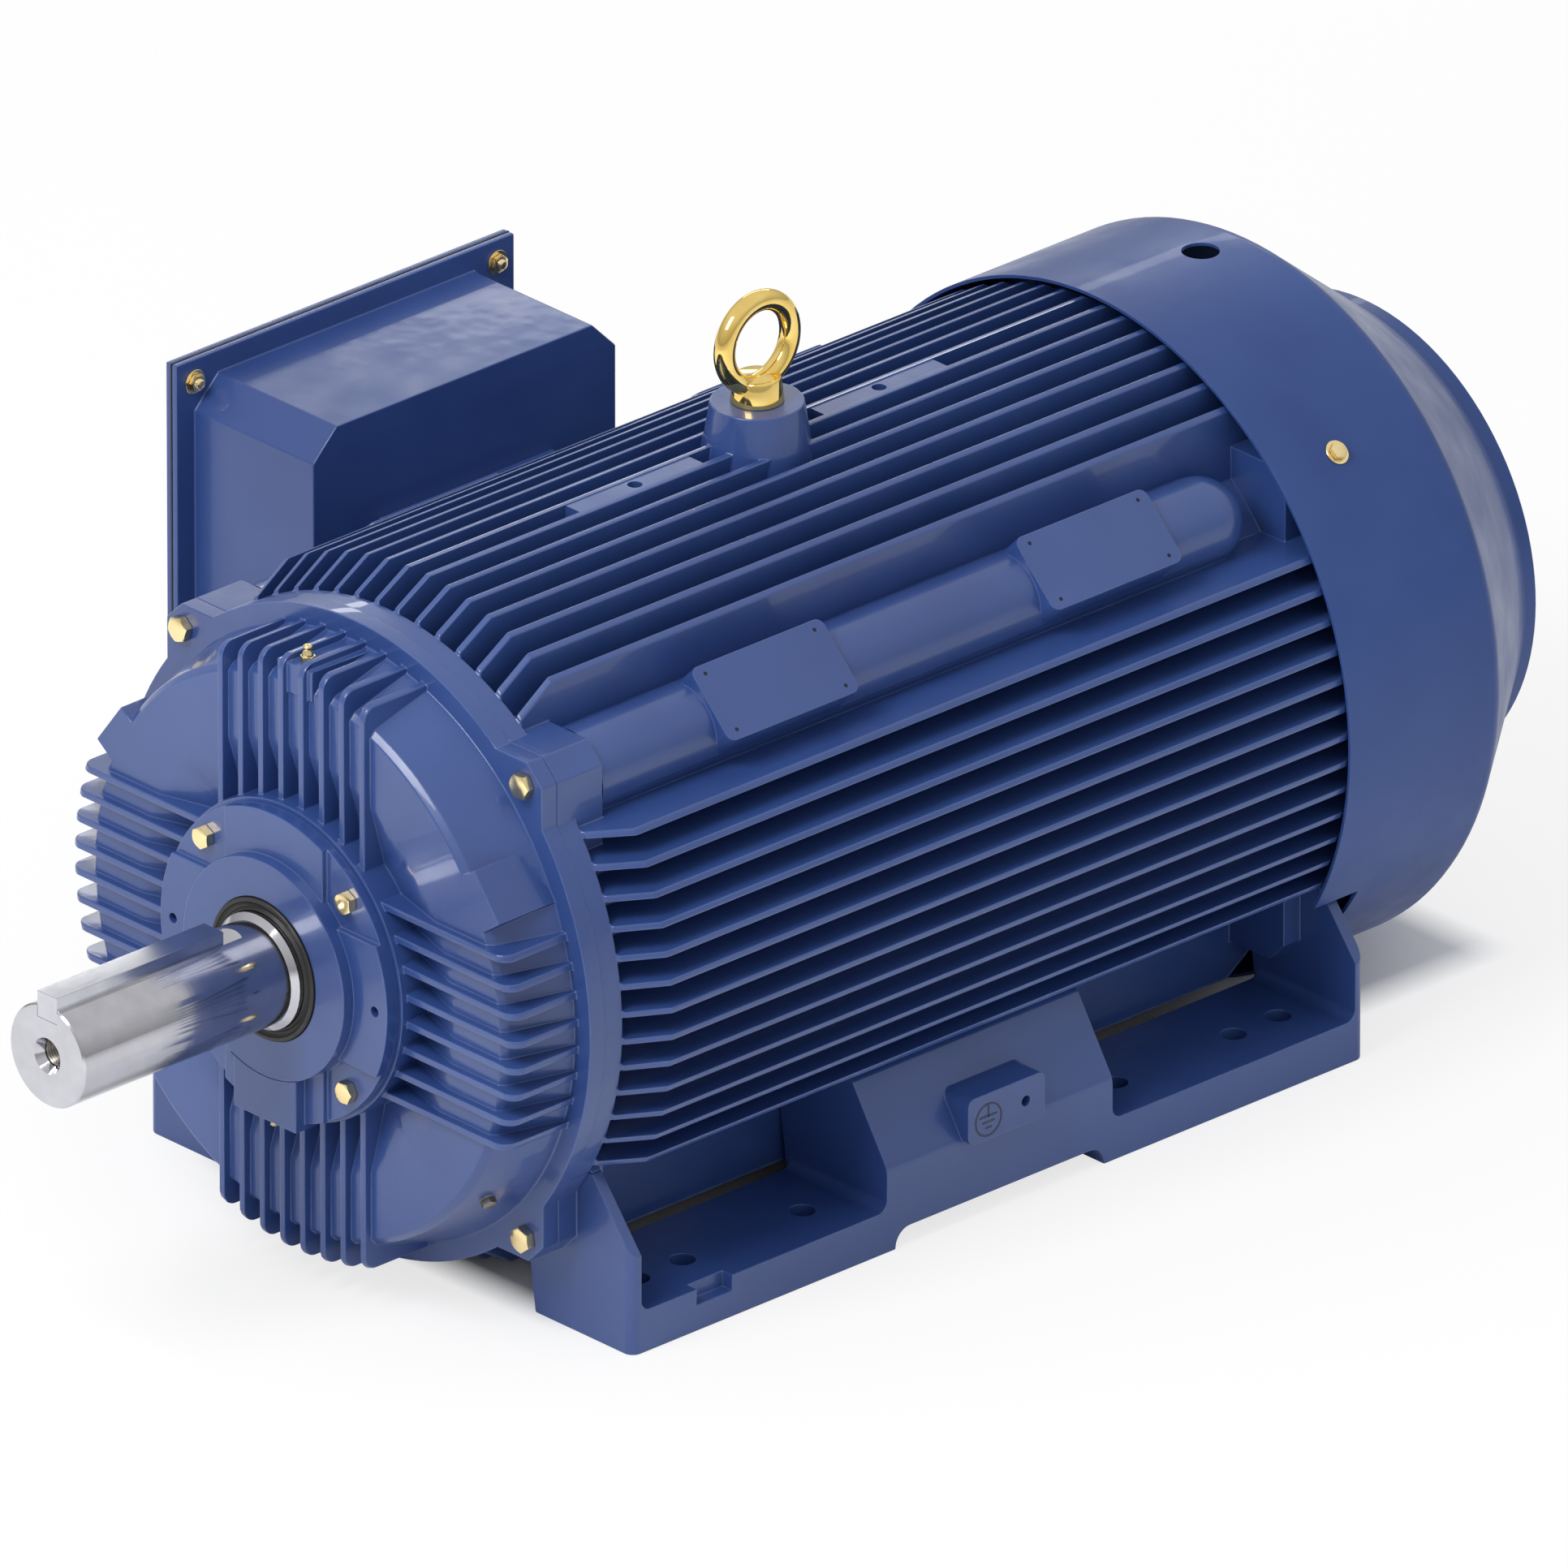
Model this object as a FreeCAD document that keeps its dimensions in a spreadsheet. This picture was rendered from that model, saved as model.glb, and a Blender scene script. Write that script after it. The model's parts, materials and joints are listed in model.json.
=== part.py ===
import FreeCAD, Part
import math
import os
import re
from types import SimpleNamespace

import Sketcher
from FreeCAD import Placement, Rotation, Vector

# Foot-mounted, fan-cooled three-phase motor, in millimetres.
# The origin is the centre of the foot-bolt pattern on the mounting plane. The shaft points
# along -Y, the fan is at +Y, the terminal box is on the -X side and +Z is up.

SIZES = [
    # Standard mounting and shaft sizes
    ("shaft_height", 279.4, "mounting plane to shaft axis"),
    ("foot_gauge", 457.2, "foot holes, across"),
    ("foot_span", 635.0, "foot holes, along, long frame"),
    ("foot_span_short", 508.0, "foot holes, along, short frame"),
    ("foot_hole_dia", 20.6, "foot bolt hole"),
    ("shoulder_to_hole", 190.5, "shaft shoulder to first foot hole"),
    ("shaft_length", 215.9, "shaft end to shoulder"),
    ("shaft_dia", 85.725, "shaft extension"),
    ("key_width", 22.225, "square key"),
    ("key_length", 174.6, "key from the shaft end"),
    ("keyseat_height", 73.152, "keyseat floor to the far side of the shaft"),
    ("key_gap", 0.02, "key to keyseat, each side"),
    ("key_runout", 24.4, "sloped end of the keyseat"),
    ("shaft_chamfer", 1.5, "edge of the shaft end"),
    ("centre_dia", 21.5, "tapped centre hole"),
    ("centre_mouth", 30.0, "countersink of the centre hole"),
    ("centre_depth", 55.0, "tapped centre hole"),
    # Frame casting
    ("frame_offset", 24.1, "middle of the casting from the bolt-pattern centre"),
    ("frame_length", 820.0, "between the two shield joints"),
    ("core_dia", 456.0, "stator core and frame bore"),
    ("barrel_dia", 480.0, "root of the fins"),
    ("fin_dia", 575.4, "circle through the fin tips"),
    ("fin_end_dia", 538.0, "fin height where a fin starts"),
    ("fin_slant", 32.2, "length over which a fin rises"),
    ("fin_pitch", 22.96, "fin to fin"),
    ("fin_thickness", 5.2, "one fin"),
    ("fin_row", 14, "fins in the top and the bottom row"),
    ("fin_low", 6, "side fins below the shaft axis"),
    ("fin_high", 7, "side fins above the shaft axis"),
    ("ground_gap", 8.0, "lowest fins above the mounting plane"),
    ("band_dia", 532.0, "smooth band at each end"),
    ("band_length", 19.3, "smooth band at each end"),
    ("ear_half", 213.0, "half width over the bolt ears"),
    ("ear_flat", 289.5, "shaft axis to the corner flat of an ear"),
    ("ear_depth", 48.0, "length of a frame ear"),
    ("ear_bolt", 193.6, "ear bolt from the shaft axis, sideways and up"),
    ("tube_dia", 72.0, "long rounded swelling on each upper corner"),
    ("tube_centre", 249.0, "shaft axis to the middle of the swelling"),
    ("tube_stop", 108.0, "rear joint to the end of the swelling"),
    ("corner_pad_length", 139.0, "flat pad on the swelling"),
    ("corner_pad_width", 66.0, "flat pad on the swelling"),
    ("corner_pad_flat", 289.0, "shaft axis to the pad"),
    ("corner_pad_pitch", 343.5, "pad to pad"),
    ("corner_pad_corner", 8.0, "pad corner"),
    ("boss_top_dia", 74.0, "lifting boss, top"),
    ("boss_base_dia", 100.0, "lifting boss, base"),
    ("boss_height", 317.6, "shaft axis to the top of the boss"),
    ("top_pad_length", 130.0, "flat pad between the middle fins"),
    ("top_pad_pitch", 259.0, "pad to pad"),
    ("top_pad_drop", 1.0, "flat pad below the fin tips"),
    ("top_pad_hole", 12.0, "tapped hole in a top pad"),
    ("top_pad_depth", 22.0, "tapped hole in a top pad"),
    # Feet
    ("foot_width", 551.2, "over both feet"),
    ("foot_inner", 331.2, "between the feet"),
    ("foot_setback", 19.8, "shield joint to the end of a foot"),
    ("foot_pad", 279.5, "ground pad at each end of a foot"),
    ("foot_recess", 16.0, "relief under the middle of a foot"),
    ("foot_plate", 36.0, "thickness of the bolted plate"),
    ("foot_wall", 10.5, "end wall"),
    ("foot_web", 14.0, "inner wall"),
    ("foot_shoulder", 84.0, "upright part of an end wall"),
    ("foot_peak", 146.4, "top of the sloped end wall"),
    ("foot_peak_half", 226.4, "top of the sloped end wall from the middle plane"),
    ("foot_block", 240.5, "closed middle section"),
    ("foot_block_shoulder", 71.0, "upright part of the middle section"),
    ("foot_block_peak", 133.0, "top of the sloped middle section"),
    ("foot_block_half", 236.0, "top of the middle section from the middle plane"),
    ("foot_bend", 20.0, "bend of the middle section"),
    ("foot_corner", 10.0, "corner of a foot"),
    ("foot_split", 137.8, "shaft axis down to the seam of a foot"),
    ("foot_pocket_round", 9.0, "rounded ends of a pocket floor"),
    ("foot_window", 105.0, "window in the inner wall of a pocket"),
    ("foot_window_height", 14.5, "window in the inner wall of a pocket"),
    ("foot_window_sill", 2.0, "window above the bolted plate"),
    ("foot_window_place", 249.5, "casting middle to the middle of a window"),
    ("foot_notch", 37.0, "notch in the edge of the right foot"),
    ("foot_notch_drop", 13.6, "notch in the edge of the right foot"),
    ("foot_notch_depth", 11.0, "notch in the edge of the right foot"),
    ("foot_notch_place", 87.3, "foot end to the middle of the notch"),
    ("earth_pad_length", 82.0, "earthing pad"),
    ("earth_pad_height", 40.0, "earthing pad"),
    ("earth_pad_base", 67.0, "earthing pad above the mounting plane"),
    ("earth_pad_half", 283.0, "face of the earthing pad"),
    ("earth_pad_hole", 8.5, "tapped hole of the earthing pad"),
    # Bearing shields, measured outwards from the shield joint
    ("shield_ring", 16.0, "flange thickness, drive end"),
    ("rear_ring", 24.0, "flange thickness, fan end"),
    ("shield_ring_dia", 534.0, "flange"),
    ("shield_spigot", 8.0, "register in the frame bore"),
    ("shield_wall", 12.0, "wall"),
    ("drum_front_dia", 470.0, "drum at its face"),
    ("drum_rear_dia", 500.0, "drum at the flange"),
    ("drum_edge", 5.0, "edge of the drum face"),
    ("drum_reach", 76.0, "drum face, drive end"),
    ("rear_drum_reach", 58.0, "drum face, fan end"),
    ("hub_dia", 264.0, "bearing hub"),
    ("hub_reach", 88.0, "hub face, drive end"),
    ("rear_hub_reach", 82.0, "hub face, fan end"),
    ("hub_length", 70.0, "bearing hub, drive end"),
    ("rear_hub_length", 64.0, "bearing hub, fan end"),
    ("dish_dia", 356.0, "dished ring round the hub"),
    ("dish_depth", 15.0, "dished ring round the hub"),
    ("rib_reach", 82.5, "front of the ribs"),
    ("rear_rib_reach", 70.0, "front of the fan-end ribs"),
    ("rib_dia", 508.0, "circle through the rib tips"),
    ("rib_corner", 12.0, "rounded rib tip"),
    ("rib_thickness", 6.0, "one rib"),
    ("rib_row", 8, "ribs in a group"),
    ("grease_pad_half", 20.0, "pad of the grease fitting"),
    ("grease_pad_top", 248.0, "shaft axis to the grease pad"),
    ("sensor_angle", 37.0, "direction of the sensor pads"),
    ("sensor_flat", 246.0, "shaft axis to a sensor pad"),
    ("sensor_width", 46.0, "sensor pad"),
    ("sensor_shift", 30.0, "sensor pad along its face"),
    # Bearing caps
    ("cap_dia", 257.8, "bearing cap"),
    ("cap_plate", 13.3, "bearing cap flange"),
    ("cap_boss_dia", 183.0, "boss of the drive-end cap"),
    ("cap_boss", 10.7, "boss of the drive-end cap"),
    ("cap_relief", 5.0, "lowered corners round the cap bolts"),
    ("cap_relief_half", 56.0, "lowered corners start here"),
    ("cap_spigot", 12.0, "cap register in the hub"),
    ("rear_cap_spigot", 8.0, "fan-end cap register in the hub"),
    ("cap_bore_gap", 1.0, "cap bore to shaft"),
    ("cap_grease_half", 35.3, "grease outlet block"),
    ("cap_grease_drop", 129.5, "grease outlet block below the axis"),
    ("inner_cap_plate", 12.0, "inner bearing cap"),
    ("cap_circle", 228.6, "cap bolts"),
    ("jack_hole_dia", 8.0, "jacking holes of the cap"),
    ("jack_hole_offset", 114.5, "jacking holes from the axis"),
    # Bearings
    ("bearing_bore", 95.0, "drive-end bearing"),
    ("bearing_dia", 200.0, "drive-end bearing"),
    ("bearing_width", 45.0, "drive-end bearing"),
    ("ball_dia", 32.0, "drive-end bearing"),
    ("rear_bearing_bore", 80.0, "fan-end bearing"),
    ("rear_bearing_dia", 170.0, "fan-end bearing"),
    ("rear_bearing_width", 39.0, "fan-end bearing"),
    ("rear_ball_dia", 26.0, "fan-end bearing"),
    ("ball_row", 8, "balls in a bearing"),
    ("cage_wall", 5.0, "ring that spaces the balls"),
    ("cage_lip", 3.0, "ring beside a ball pocket"),
    ("race_land", 8.0, "race shoulder below or above the ball middle"),
    ("running_gap", 0.3, "between parts that turn past each other"),
    ("spring_wire", 4.0, "preload spring"),
    # Shaft seal
    ("seal_dia", 117.0, "rubber seal"),
    ("seal_width", 11.0, "rubber seal"),
    ("seal_stand", 2.2, "seal proud of the cap"),
    ("shoulder_dia", 96.0, "shaft behind the shoulder"),
    ("shoulder_edge", 4.5, "round of the shoulder"),
    # Rotor and stator
    ("rear_seat_dia", 74.0, "shaft at the fan"),
    ("abutment_rise", 8.0, "shaft shoulder behind a bearing"),
    ("spine_dia", 126.0, "shaft inside the core"),
    ("stack_length", 440.0, "laminated cores"),
    ("rotor_dia", 288.0, "rotor core"),
    ("air_gap", 1.5, "rotor to stator"),
    ("winding_reach", 88.0, "end winding"),
    ("winding_bevel", 14.7, "end winding"),
    ("winding_inner", 308.0, "end winding bore"),
    ("winding_outer", 424.0, "end winding"),
    ("cage_reach", 28.0, "rotor end ring"),
    ("cage_inner", 200.0, "rotor end ring bore"),
    # Fan and cover
    ("fan_dia", 512.0, "fan"),
    ("fan_hub_dia", 124.0, "fan hub"),
    ("fan_hub_length", 56.0, "fan hub"),
    ("fan_plate", 5.0, "fan back plate"),
    ("fan_blade", 5.0, "one blade"),
    ("fan_blade_reach", 68.0, "blade length along the shaft"),
    ("fan_blade_full", 17.0, "blade of full height at the back plate"),
    ("fan_blade_root", 190.0, "inner circle of the blades"),
    ("fan_blade_tip_dia", 420.0, "blade tips at the inlet side"),
    ("fan_blade_row", 9, "blades"),
    ("fan_gap", 10.0, "cap to fan"),
    ("fan_key_width", 18.0, "fan key"),
    ("fan_key_depth", 7.0, "fan key in the shaft"),
    ("fan_key_height", 11.0, "fan key"),
    ("cover_dia", 588.0, "fan cover"),
    ("cover_wall", 3.0, "sheet of the fan cover"),
    ("cover_lap", 54.0, "cover edge forward of the rear joint"),
    ("cover_cut", 46.0, "cover edge cut back over the feet"),
    ("cover_cut_drop", 147.0, "cover cut back below here"),
    ("cover_barrel", 168.0, "straight part of the cover"),
    ("cover_cone", 113.0, "tapered part of the cover"),
    ("cover_lip", 12.0, "rim of the air inlet"),
    ("cover_mouth_dia", 392.0, "rim of the air inlet"),
    ("cover_round", 14.0, "rounded shoulder of the cover"),
    ("cover_round_turn", 48.0, "angle of the rounded shoulder, in degrees"),
    ("cover_round_steps", 3, "steps of the rounded shoulder"),
    ("cover_base_gap", 4.0, "flat bottom of the cover above the mounting plane"),
    ("cover_bolt_back", 12.0, "cover bolts behind the rear joint"),
    ("cover_port_dia", 30.0, "port on top of the cover"),
    ("cover_port_back", 63.0, "port behind the rear joint"),
    ("guard_wire", 5.0, "inlet guard"),
    ("guard_rings", 5, "rings of the guard"),
    ("guard_spokes", 4, "spokes of the guard"),
    # Terminal box
    ("box_lid_outer", 481.5, "middle plane to the outside of the lid"),
    ("box_lid_wall", 5.0, "lid"),
    ("box_lid_length", 358.7, "lid along the motor"),
    ("box_lid_height", 412.0, "lid"),
    ("box_lid_top", 242.7, "top of the lid above the shaft axis"),
    ("box_inner_face", 332.7, "middle plane to the motor side of the box"),
    ("box_rim", 18.6, "lid edge past the box"),
    ("box_chamfer", 25.0, "cut corner of the box"),
    ("box_wall", 8.0, "wall of the box"),
    ("box_flange", 6.0, "flange under the lid"),
    ("gasket_wall", 1.5, "gasket of the lid"),
    ("lid_bolt_inset", 18.7, "lid bolts from both lid edges"),
    ("neck_half", 92.0, "half length of the box seat"),
    ("neck_drop", 46.0, "box seat bottom below the axis"),
    ("neck_top", 132.0, "box seat top above the axis"),
    ("neck_wall", 14.0, "rim of the neck"),
    ("lead_margin", 42.0, "leads opening inside the edge of the seat"),
    ("seat_screw_inset", 21.0, "screws of the neck inside the edge of the seat"),
    ("neck_seat", 292.0, "middle plane to the box seat"),
    ("entry_dia", 78.0, "cable entry in the bottom of the box"),
    # Fasteners and fittings
    ("ear_bolt_dia", 12.0, "shield bolts"),
    ("ear_bolt_flats", 19.05, "shield bolts"),
    ("ear_bolt_head", 7.8, "shield bolts"),
    ("ear_bolt_grip", 40.0, "shield bolts in the frame"),
    ("cap_bolt_dia", 10.0, "cap bolts"),
    ("cap_bolt_flats", 16.5, "cap bolts"),
    ("cap_bolt_head", 8.0, "cap bolts"),
    ("small_bolt_dia", 8.0, "cover and lid bolts"),
    ("small_bolt_flats", 13.0, "cover and lid bolts"),
    ("small_bolt_head", 5.5, "cover and lid bolts"),
    ("small_bolt_grip", 13.0, "cover and lid bolts in their seat"),
    ("bolt_gap", 0.15, "bolt to hole"),
    ("eye_wire", 17.0, "eyebolt ring section"),
    ("eye_dia", 69.5, "eyebolt ring centre line"),
    ("eye_centre", 367.0, "shaft axis to the eye"),
    ("eye_collar_dia", 40.0, "eyebolt collar"),
    ("eye_collar_top_dia", 27.2, "eyebolt collar at the ring"),
    ("eye_collar", 12.0, "eyebolt collar"),
    ("eye_shank_dia", 24.0, "eyebolt shank"),
    ("eye_shank", 38.0, "eyebolt shank in the boss"),
    ("fitting_dia", 10.0, "grease fitting"),
    ("fitting_height", 18.0, "grease fitting"),
    ("fitting_thread", 8.0, "grease fitting thread length"),
    ("fitting_back", 12.0, "grease fitting behind the drum face"),
    ("plug_flats", 12.0, "grease outlet plug"),
    ("plug_height", 8.0, "grease outlet plug"),
    ("plate_length", 118.0, "rating plate"),
    ("plate_width", 52.0, "rating plate"),
    ("plate_wall", 1.0, "rating plate"),
    ("block_length", 190.0, "terminal block"),
    ("block_height", 70.0, "terminal block"),
    ("block_depth", 30.0, "terminal block"),
    ("block_rise", 124.0, "terminal block above the shaft axis"),
    ("stud_dia", 12.0, "terminal studs"),
    ("stud_height", 22.0, "terminal studs"),
    ("stud_pitch", 56.0, "terminal studs"),
]

doc = FreeCAD.newDocument("Motor")
sheet = doc.addObject("Spreadsheet::Sheet", "Sizes")
for row, (alias, number, meaning) in enumerate(SIZES, start=1):
    sheet.set(f"A{row}", alias)
    sheet.set(f"B{row}", str(number))
    sheet.set(f"C{row}", meaning)
    sheet.setAlias(f"B{row}", alias)
doc.recompute()

NAMES = [alias for alias, number, meaning in SIZES]
s = SimpleNamespace(**{alias: float(getattr(sheet, alias)) for alias in NAMES})
SUB_PARTS = []

# Places along the shaft, as expressions over the sheet
FRONT = "(frame_offset - frame_length / 2)"
REAR = "(frame_offset + frame_length / 2)"
SHOULDER = "(-foot_span / 2 - shoulder_to_hole)"
SHAFT_END = f"({SHOULDER} - shaft_length)"
FAN_START = f"({REAR} + rear_hub_reach + cap_plate + fan_gap)"
FAN_END = f"({FAN_START} + fan_hub_length)"

DRIVE_BEARING = f"({FRONT} - hub_reach + cap_spigot + bearing_width / 2)"
FAN_BEARING = f"({REAR} + rear_hub_reach - rear_cap_spigot - spring_wire - rear_bearing_width / 2)"

FORWARD = Rotation()
BACKWARD = Rotation(Vector(0, 0, 1), 180)


def bound(expression):
    """The expression with every sheet alias in its full form."""
    return re.sub(r"[a-z_]+", lambda word: f"Sizes.{word[0]}" if word[0] in NAMES else word[0], expression)


def mm(expression):
    """The value of an expression over the sheet."""
    return float(sheet.evalExpression(bound(expression)))


def keep(item, along="0", turn=FORWARD, across="0", up="shaft_height"):
    """Place a finished sub-part by expressions and list it for export."""
    item.Placement = Placement(Vector(mm(across), mm(along), mm(up)), turn)
    for axis, expression in (("x", across), ("y", along), ("z", up)):
        item.setExpression(f"Placement.Base.{axis}", bound(expression))
    SUB_PARTS.append(item)
    return item


def keep_shape(label, shape, **place):
    """List a sub-part whose shape comes from solid operations."""
    item = doc.addObject("Part::Feature", label)
    item.Shape = shape
    return keep(item, **place)


def plane_of(body, role):
    """One of a body's own origin planes."""
    return next(plane for plane in body.Origin.OriginFeatures if plane.Role == role)


def outline_sketch(body, name, role, corners):
    """A closed outline with both coordinates of every corner bound to the sheet."""
    sketch = body.newObject("Sketcher::SketchObject", name)
    sketch.AttachmentSupport = [(plane_of(body, role), "")]
    sketch.MapMode = "FlatFace"
    places = [Vector(mm(across), mm(along), 0) for across, along in corners]
    for index, place in enumerate(places):
        sketch.addGeometry(Part.LineSegment(place, places[(index + 1) % len(places)]))
    for index in range(len(places)):
        following = (index + 1) % len(places)
        sketch.addConstraint(Sketcher.Constraint("Coincident", index, 2, following, 1))
    for index, (corner, place) in enumerate(zip(corners, places)):
        sides = (("DistanceX", corner[0], place.x), ("DistanceY", corner[1], place.y))
        for kind, expression, distance in sides:
            number = sketch.addConstraint(Sketcher.Constraint(kind, -1, 1, index, 1, distance))
            sketch.setExpression(f"Constraints[{number}]", bound(expression))
    return sketch


def circle_sketch(body, name, role, centre, diameter):
    """A circle with its centre and diameter bound to the sheet."""
    sketch = body.newObject("Sketcher::SketchObject", name)
    sketch.AttachmentSupport = [(plane_of(body, role), "")]
    sketch.MapMode = "FlatFace"
    place = Vector(mm(centre[0]), mm(centre[1]), 0)
    sketch.addGeometry(Part.Circle(place, Vector(0, 0, 1), mm(diameter) / 2))
    for kind, first, expression in (("DistanceX", 0, centre[0]), ("DistanceY", 0, centre[1])):
        number = sketch.addConstraint(Sketcher.Constraint(kind, -1, 1, first, 3, mm(expression)))
        sketch.setExpression(f"Constraints[{number}]", bound(expression))
    number = sketch.addConstraint(Sketcher.Constraint("Diameter", 0, mm(diameter)))
    sketch.setExpression(f"Constraints[{number}]", bound(diameter))
    return sketch


def turned(label, corners):
    """A body turned about its own Y axis from (radius, station) corners."""
    body = doc.addObject("PartDesign::Body", label)
    sketch = outline_sketch(body, f"{label}_outline", "XY_Plane", corners)
    turn = body.newObject("PartDesign::Revolution", f"{label}_turn")
    turn.Profile = sketch
    turn.ReferenceAxis = (sketch, ["V_Axis"])
    turn.Angle = 360
    return body


def padded(label, role, corners, length):
    """A body padded evenly to both sides of one of its origin planes."""
    body = doc.addObject("PartDesign::Body", label)
    sketch = outline_sketch(body, f"{label}_outline", role, corners)
    pad = body.newObject("PartDesign::Pad", f"{label}_pad")
    pad.Profile = sketch
    pad.Midplane = True
    pad.setExpression("Length", bound(length))
    return body


def box_corners(low_across, high_across, low_up, high_up):
    """The four corners of a rectangle, as expressions."""
    return [(low_across, low_up), (high_across, low_up), (high_across, high_up), (low_across, high_up)]


def drill_row(body, name, centre, diameter, count):
    """Through holes along Y, spread evenly about the shaft axis."""
    sketch = circle_sketch(body, f"{name}_circle", "XZ_Plane", centre, diameter)
    pocket = body.newObject("PartDesign::Pocket", f"{name}_pocket")
    pocket.Profile = sketch
    pocket.Type = 1
    pocket.Midplane = True
    row = body.newObject("PartDesign::PolarPattern", f"{name}_row")
    row.Originals = [pocket]
    row.Axis = (sketch, ["N_Axis"])
    row.Angle = 360
    row.Occurrences = count
    body.Tip = row
    return row


def disc(radius, start, end):
    """A cylinder on the shaft axis between two stations."""
    return Part.makeCylinder(radius, end - start, Vector(0, start, 0), Vector(0, 1, 0))


def block(x0, x1, y0, y1, z0, z1):
    """A box between six planes."""
    return Part.makeBox(x1 - x0, y1 - y0, z1 - z0, Vector(x0, y0, z0))


def spun(corners):
    """A solid of revolution about the Y axis from (radius, station) corners."""
    wire = Part.makePolygon([Vector(radius, station, 0) for radius, station in corners + corners[:1]])
    return Part.Face(wire).revolve(Vector(), Vector(0, 1, 0), 360)


def rounded_face(corners, radii):
    """A face in the XZ plane whose corners are rounded by the given radii."""
    places = [Vector(x, 0, z) for x, z in corners]
    edges = []
    previous_end = None
    first_start = None
    for index, place in enumerate(places):
        to_last = (places[index - 1] - place).normalize()
        to_next = (places[(index + 1) % len(places)] - place).normalize()
        half = to_last.getAngle(to_next) / 2
        start = place
        end = place
        arc = None
        if radii[index]:
            reach = radii[index] / math.tan(half)
            start = place + to_last * reach
            end = place + to_next * reach
            middle = place + (to_last + to_next).normalize() * (radii[index] / math.sin(half) - radii[index])
            arc = Part.Arc(start, middle, end).toShape()
        if previous_end is not None:
            edges.append(Part.makeLine(previous_end, start))
        if arc is not None:
            edges.append(arc)
        first_start = start if first_start is None else first_start
        previous_end = end
    edges.append(Part.makeLine(previous_end, first_start))
    return Part.Face(Part.Wire(edges))


def prism(corners, start, end, radii=None):
    """A solid along Y between two stations from an outline in the XZ plane."""
    face = rounded_face(corners, radii or [0] * len(corners))
    face.translate(Vector(0, start, 0))
    return face.extrude(Vector(0, end - start, 0))


def mirrored_pair(shape):
    """The shape and its image across the middle plane."""
    return [shape, shape.mirror(Vector(), Vector(1, 0, 0))]


def four_corners(offset):
    """The four corner places at the same distance sideways and up."""
    return [(x * offset, z * offset) for x in (-1, 1) for z in (-1, 1)]


def ear_outline():
    """The square with cut corners that both the shields and the frame share."""
    cut = s.ear_flat * math.sqrt(2) - s.ear_half
    half = s.ear_half
    return [(half, -cut), (half, cut), (cut, half), (-cut, half),
            (-half, cut), (-half, -cut), (-cut, -half), (cut, -half)]


def fin_plates(offsets, thickness, inner, outer, start, end, side):
    """Upright or level plates, one per offset; side is +z, -z, +x or -x."""
    plates = []
    for offset in offsets:
        low, high = offset - thickness / 2, offset + thickness / 2
        near, far = (inner, outer) if side[0] == "+" else (-outer, -inner)
        if side[1] == "z":
            plates.append(block(low, high, start, end, near, far))
        else:
            plates.append(block(near, far, start, end, low, high))
    return plates


def fin_offsets(below, above, pitch):
    """Fin places, in whole pitches about the middle, for the given counts."""
    return [(index + 0.5) * pitch for index in range(-int(below), int(above))]


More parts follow.
